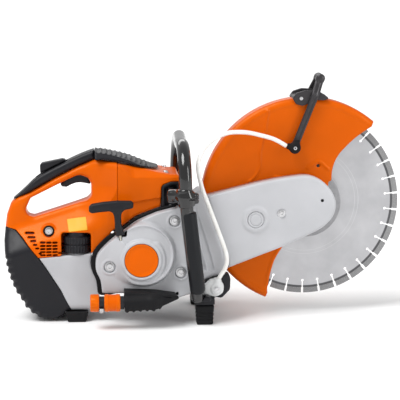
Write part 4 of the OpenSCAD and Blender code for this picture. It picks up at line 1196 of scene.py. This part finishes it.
def handlebar_clamp():
    """Glossy clamp round the tube with its lug and stud housing, and the far leg's shoe."""
    s = Space((-80, -150, 204), (-8, -38, 268), 1.0)
    middle = (-37.5, -126.0, 239.0)
    collar = rod(s, (-36.4, -126, 221), (-40.2, -126, 256), 14.8, 5.0)
    waist = (s.x - middle[0]) ** 2 + ((s.y - middle[1]) * 1.1) ** 2 + ((s.z - middle[2]) * 1.3) ** 2
    waist = np.sqrt(waist) - 18.0
    lug = block(s, (-34, -133, 228), (-15, -119, 248), 5.0)
    stud = rod(s, (-46, -124, 243), (-64, -106, 240), 10.5, 3.0)
    arm = block(s, (-69, -116, 228), (-52, -59.5, 250), 6.0)
    d = smin(smin(smin(smin(collar, waist, 4.0), lug, 3.0), stud, 3.0), arm, 6.0)
    split = smax(np.abs(s.z - 238.0 + (s.x + 36.0) * 0.1) - 0.7, -(s.x + 34.0), 0.3)
    d = cut(d, smax(split, 12.0 - disc_y(s, middle), 0.3), 0.6)
    d = cut(d, rod(s, (-33.2, -126, 200), (-39, -126, 270), 12.3), 0.5)
    made("bar_clamp", s, d, "bar_paint", replaced=["handlebar_clamp"])
    bolt_head("clamp_bolt", (-20.5, -133.2, 239.2), (0, -1, 0), 3.6, 2.4, slot_name="dark_metal")
    # Mount of the far leg: a moulded shoe on the fan housing's buffer
    s = Space((-78, 96, 136), (-34, 146, 186), 1.0)
    shoe = rod(s, (-53.6, 120.5, 154), (-51.4, 123.0, 176), 15.5, 4.0)
    shoe = smin(shoe, rod(s, (-54, 99, 152), (-54, 122, 156), 13.0, 3.0), 6.0)
    shoe = cut(shoe, rod(s, (-53.8, 120.2, 158), (-50.4, 125.2, 190), 12.2), 0.4)
    made("far_bar_shoe", s, shoe, "black_plastic")


def front_support():
    """Black front bracket and its two rubber feet."""
    s = Space((-30, -116, 30), (52, 104, 100), 1.3)
    ear = outline(s, rounded([(-20, 49), (16, 49), (30, 46), (45, 62), (46, 82), (42, 94), (30, 88), (2, 78),
                              (-20, 57)], [2, 4, 8, 8, 8, 6, 6, 8, 2]))
    d = smax(ear, np.minimum(np.abs(s.y + 72.0), np.abs(s.y - 72.0)) - 12.0, 4.0)
    d = smin(d, block(s, (-20, -98, 36.3), (16, 98, 50.3), 3.0), 5.0)
    d = smin(d, block(s, (-26, -115, 46), (8, -84, 56), 4.0), 4.0)
    d = cut(d, rod(s, (-13, -101, 46), (-17, -116, 72), 12.2), 0.5)
    made("front_carrier", s, d, "black_plastic", replaced=["front_bracket"])
    s = Space((-24, -102, 0), (20, 102, 40), 1.0)
    side = outline(s, rounded([(-19, 36), (15, 36), (13, 0), (-17, 0)], [1, 1, 3, 3]))
    pads = smax(side, np.abs(np.abs(s.y) - 83.0) - 15.0, 4.0)
    d = smax(pads, -s.z, 0.1)
    for z in (8, 15, 22):
        d = cut(d, smax(np.abs(s.z - z) - 1.0, -(pads + 1.3), 0.3), 0.8)
    made("front_foot_pads", s, d, "rubber", replaced=["front_feet"])


# ---------------------------------------------------------------- water supply

HOSE_ROUTE = [
    (151, -42, 320), (128, -46, 333), (102, -50, 341), (76, -56, 347), (49, -62, 348),
    (30, -68, 344), (14, -74, 336), (0, -79, 324), (-10, -84, 308), (-14, -88, 293),
    (-13, -90, 278), (-10, -91, 263), (-6, -92, 248), (0, -92, 232), (6, -92, 216),
    (15, -92, 192), (24, -92, 168), (31, -92, 149), (37, -92, 130), (38, -92, 115),
    (34, -92, 102), (27, -92, 91), (21, -92, 80),
]


def water_hose():
    """Hose from the guard's nozzle to the fitting at the front bracket."""
    route = smooth_curve(HOSE_ROUTE, 4, False)
    piece = tube_mesh("spray_hose", route, 4.0, 20)
    finish_piece(piece, "hose", None, ["water_hose"])
    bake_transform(piece)


def hose_fitting():
    """Pale fitting that the hose enters: a rounded plate with a nose, a socket and a bolt."""
    s = Space((-10, -104, 44), (40, -82, 94), 0.8)
    plate = outline(s, rounded([(-3, 74), (8, 84), (24, 85), (33, 73), (31, 58), (18, 51), (-3, 55)],
                               [3, 8, 10, 10, 10, 8, 3]))
    d = slab(s, plate, -95.5, -85.0, 4.0)
    d = smin(d, rod(s, (20, -84.4, 66), (20, -98.0, 66), 11.0, 3.0), 3.0)
    d = smin(d, rod(s, (20.5, -92, 66), (21.2, -92, 86), 6.4, 1.5), 4.0)
    d = cut(d, rod(s, (21, -92, 78), (21.5, -92, 95), 4.2), 0.3)
    made("hose_elbow", s, d, "white_plastic", replaced=["hose_fitting"])
    bolt_head("elbow_bolt", (20, -97.8, 66), (0, -1, 0), 5.0, 3.0)


def coupling():
    """Quick coupling: nose, sliding collar, ribbed grip with its taper, and clip."""
    origin = (0.0, COUPLING_Y, COUPLING_Z)
    axis = (1, 0, 0)
    nose = [
        (-205, 9.5), (-209.4, 9.5), (-210, 10.5), (-210, 14.4), (-208.4, 15.8), (-197, 16), (-195.4, 15.6),
        (-194.2, 14.4), (-194.2, 12.1), (-205, 12.1),
    ]

    def flutes(angle, row):
        return 1.0 - 0.035 * (0.5 + 0.5 * math.cos(18 * angle)) ** 3 if 4 <= row <= 5 else 1.0

    piece = lathe("coupling_nose_ring", origin, axis, nose, 144, flutes)
    finish_piece(piece, "orange_plastic", "root", ["coupling_nose"])
    collar = [
        (-184.8, 12.06), (-184.8, 14.2), (-183, 15.8), (-178, 16), (-177, 15.2), (-164, 15.2), (-163, 16),
        (-158, 15.8), (-156.2, 14.2), (-156.2, 12.06),
    ]
    piece = lathe("coupling_slide_ring", origin, axis, collar, 144)
    finish_piece(piece, "orange_plastic", "collar", ["coupling_collar"])
    core = [(-204.9, 7), (-204.9, 12), (-149, 12), (-149, 7)]
    piece = lathe("coupling_tube", origin, axis, core, 96)
    finish_piece(piece, "black_plastic", "root", ["coupling_core"])
    # Moulded sleeve: serrated underneath, with a long taper and a lip above
    s = Space((-151, -142, 28), (-46, -78, 74), 0.8)
    body = capsule(s, (-150, COUPLING_Y, 47.5), (-94, COUPLING_Y, 50.0), 15.6, 14.6)
    body = cut(body, s.x + 148.9)
    taper = capsule(s, (-98, COUPLING_Y, 49.5), (-54, COUPLING_Y + 4, 56.0), 14.8, 3.4)
    body = smin(body, taper, 4.0)
    teeth = np.maximum(np.sin((s.x + 147.0) * 2 * math.pi / 12.0), -0.4) * 1.7
    body = body - teeth * ramp((44.0 - s.z) / 8.0) * ramp((-72.0 - s.x) / 8.0)
    lip = outline(s, rounded([
        (-148.9, 69.5), (-90, 66.5), (-56, 61), (-52, 56), (-80, 54), (-148.9, 55),
    ], [1, 8, 3, 2, 8, 1]))
    lip = slab(s, lip, -127.0, -90.0, 3.0)
    lip = cut(lip, smax(path_distance(s, [(-140, 62.5), (-66, 58.5)]) - 1.2, s.y + 124.0, 0.5))
    body = smin(body, lip, 3.0)
    body = smin(body, block(s, (-140, -109, 44), (-80, -80, 48), 1.5), 2.0)
    made("coupling_sleeve", s, body, "rubber", replaced=["coupling_grip"])
    s = Space((-198, -142, 26), (-182, -98, 48), 0.8)
    r = np.sqrt((s.y - COUPLING_Y) ** 2 + (s.z - COUPLING_Z) ** 2)
    strap = smax(smax(np.abs(r - 17.2) - 0.9, s.z - 42.0, 0.5), np.abs(s.x + 189.6) - 3.6, 0.6)
    made("coupling_strap", s, strap, "bright_steel", replaced=["coupling_clip"])


# ---------------------------------------------------------------- kept CAD nodes and label


def kept_nodes():
    """Materials for every CAD node, and edge rounding for a listed few that keep their own shape."""
    slots = {row["node"]: row["material_slot"] for row in frame["record"]["subparts"]}
    for name, piece in frame["nodes"].items():
        piece.data.materials.clear()
        piece.data.materials.append(MATERIALS[slots[name]])
    for name, width in (
        ("rear_feet", 2.5),
        ("wheel_flanges", 0.4), ("wheel_bolt", 0.6), ("muffler", 2.0), ("carburettor", 1.5), ("crankcase", 1.5),
        ("av_buffers", 1.0), ("driven_pulley", 0.4), ("clutch_drum", 0.4), ("spark_plug", 0.4),
    ):
        bevelled(name, width)


def blank_label():
    """Blank yellow label on the flank above the fuel cap."""
    s = Space((-256, -56, 160), (-208, -30, 200), 0.7)
    d2 = outline(s, rounded([(-251, 187.5), (-216, 193), (-213, 170.5), (-247.5, 166.5)], 1.5))
    surface = -rear_half(s.x, s.z)
    made("blank_label", s, smax(d2, np.abs(s.y - surface) - 0.7, 0.3), "orange_plastic", material=LABEL)


def studio_floor():
    """Wide white floor."""
    bm = bmesh.new()
    bmesh.ops.create_circle(bm, cap_ends=True, segments=64, radius=30.0)
    mesh = bpy.data.meshes.new("floor")
    bm.to_mesh(mesh)
    bm.free()
    floor = link("floor", mesh)
    look = Look("floor_white")
    tone = look.ranged(look.noise(1.2), 0.0, 1.0)
    mesh.materials.append(look.surface([], {
        "Base Color": look.mixed(tone, (0.93, 0.93, 0.93), (0.95, 0.95, 0.95)),
        "Roughness": 0.9, "Specular IOR Level": 0.05,
    }))


def aimed_light(name, kind, at, aim, energy):
    """A lamp at a place, pointing at another."""
    data = bpy.data.lights.new(name, kind)
    data.energy = energy
    light = bpy.data.objects.new(name, data)
    light.location = at
    light.rotation_euler = (Vector(aim) - Vector(at)).to_track_quat("-Z", "Y").to_euler()
    bpy.context.scene.collection.objects.link(light)
    return data


def studio_light():
    """A very wide overhead light, soft boxes at the sides and a pale sky."""
    world = bpy.data.worlds.new("studio")
    world.use_nodes = True
    world.node_tree.nodes["Background"].inputs["Color"].default_value = (1.0, 1.0, 1.0, 1.0)
    world.node_tree.nodes["Background"].inputs["Strength"].default_value = 0.58
    bpy.context.scene.world = world
    overhead = aimed_light("overhead_light", "SUN", (-1.0, -0.75, 1.9), (0.0, 0.0, 0.0), 2.5)
    overhead.angle = math.radians(34.0)
    for name, at, width, height, power in (
        ("side_light", (1.7, -1.5, 0.9), 0.35, 1.4, 14.0),
        ("back_light", (-0.4, 2.2, 1.6), 2.0, 0.8, 10.0),
    ):
        box = aimed_light(name, "AREA", at, (0.0, 0.0, 0.2), power)
        box.shape = "RECTANGLE"
        box.size = width
        box.size_y = height
    bpy.context.scene.view_settings.view_transform = "Standard"


water_hose()
kept_nodes()
rear_housing()
inlet_shade()
air_filter()
grip_cover()
filter_cover()
tail_guard()
fuel_tank()
fuel_cap()
trigger_parts()
engine_shroud()
recess_parts()
fasteners()
starter_cover()
starter_badge()
cover_gasket()
starter_grip()
starter_rope()
belt_housing()
belt_guard()
tension_fasteners()
arm_casting()
fan_housing()
guard_shell()
guard_lever()
guard_fittings()
handlebar()
handlebar_clamp()
front_support()
hose_fitting()
coupling()
blank_label()
studio_floor()
studio_light()
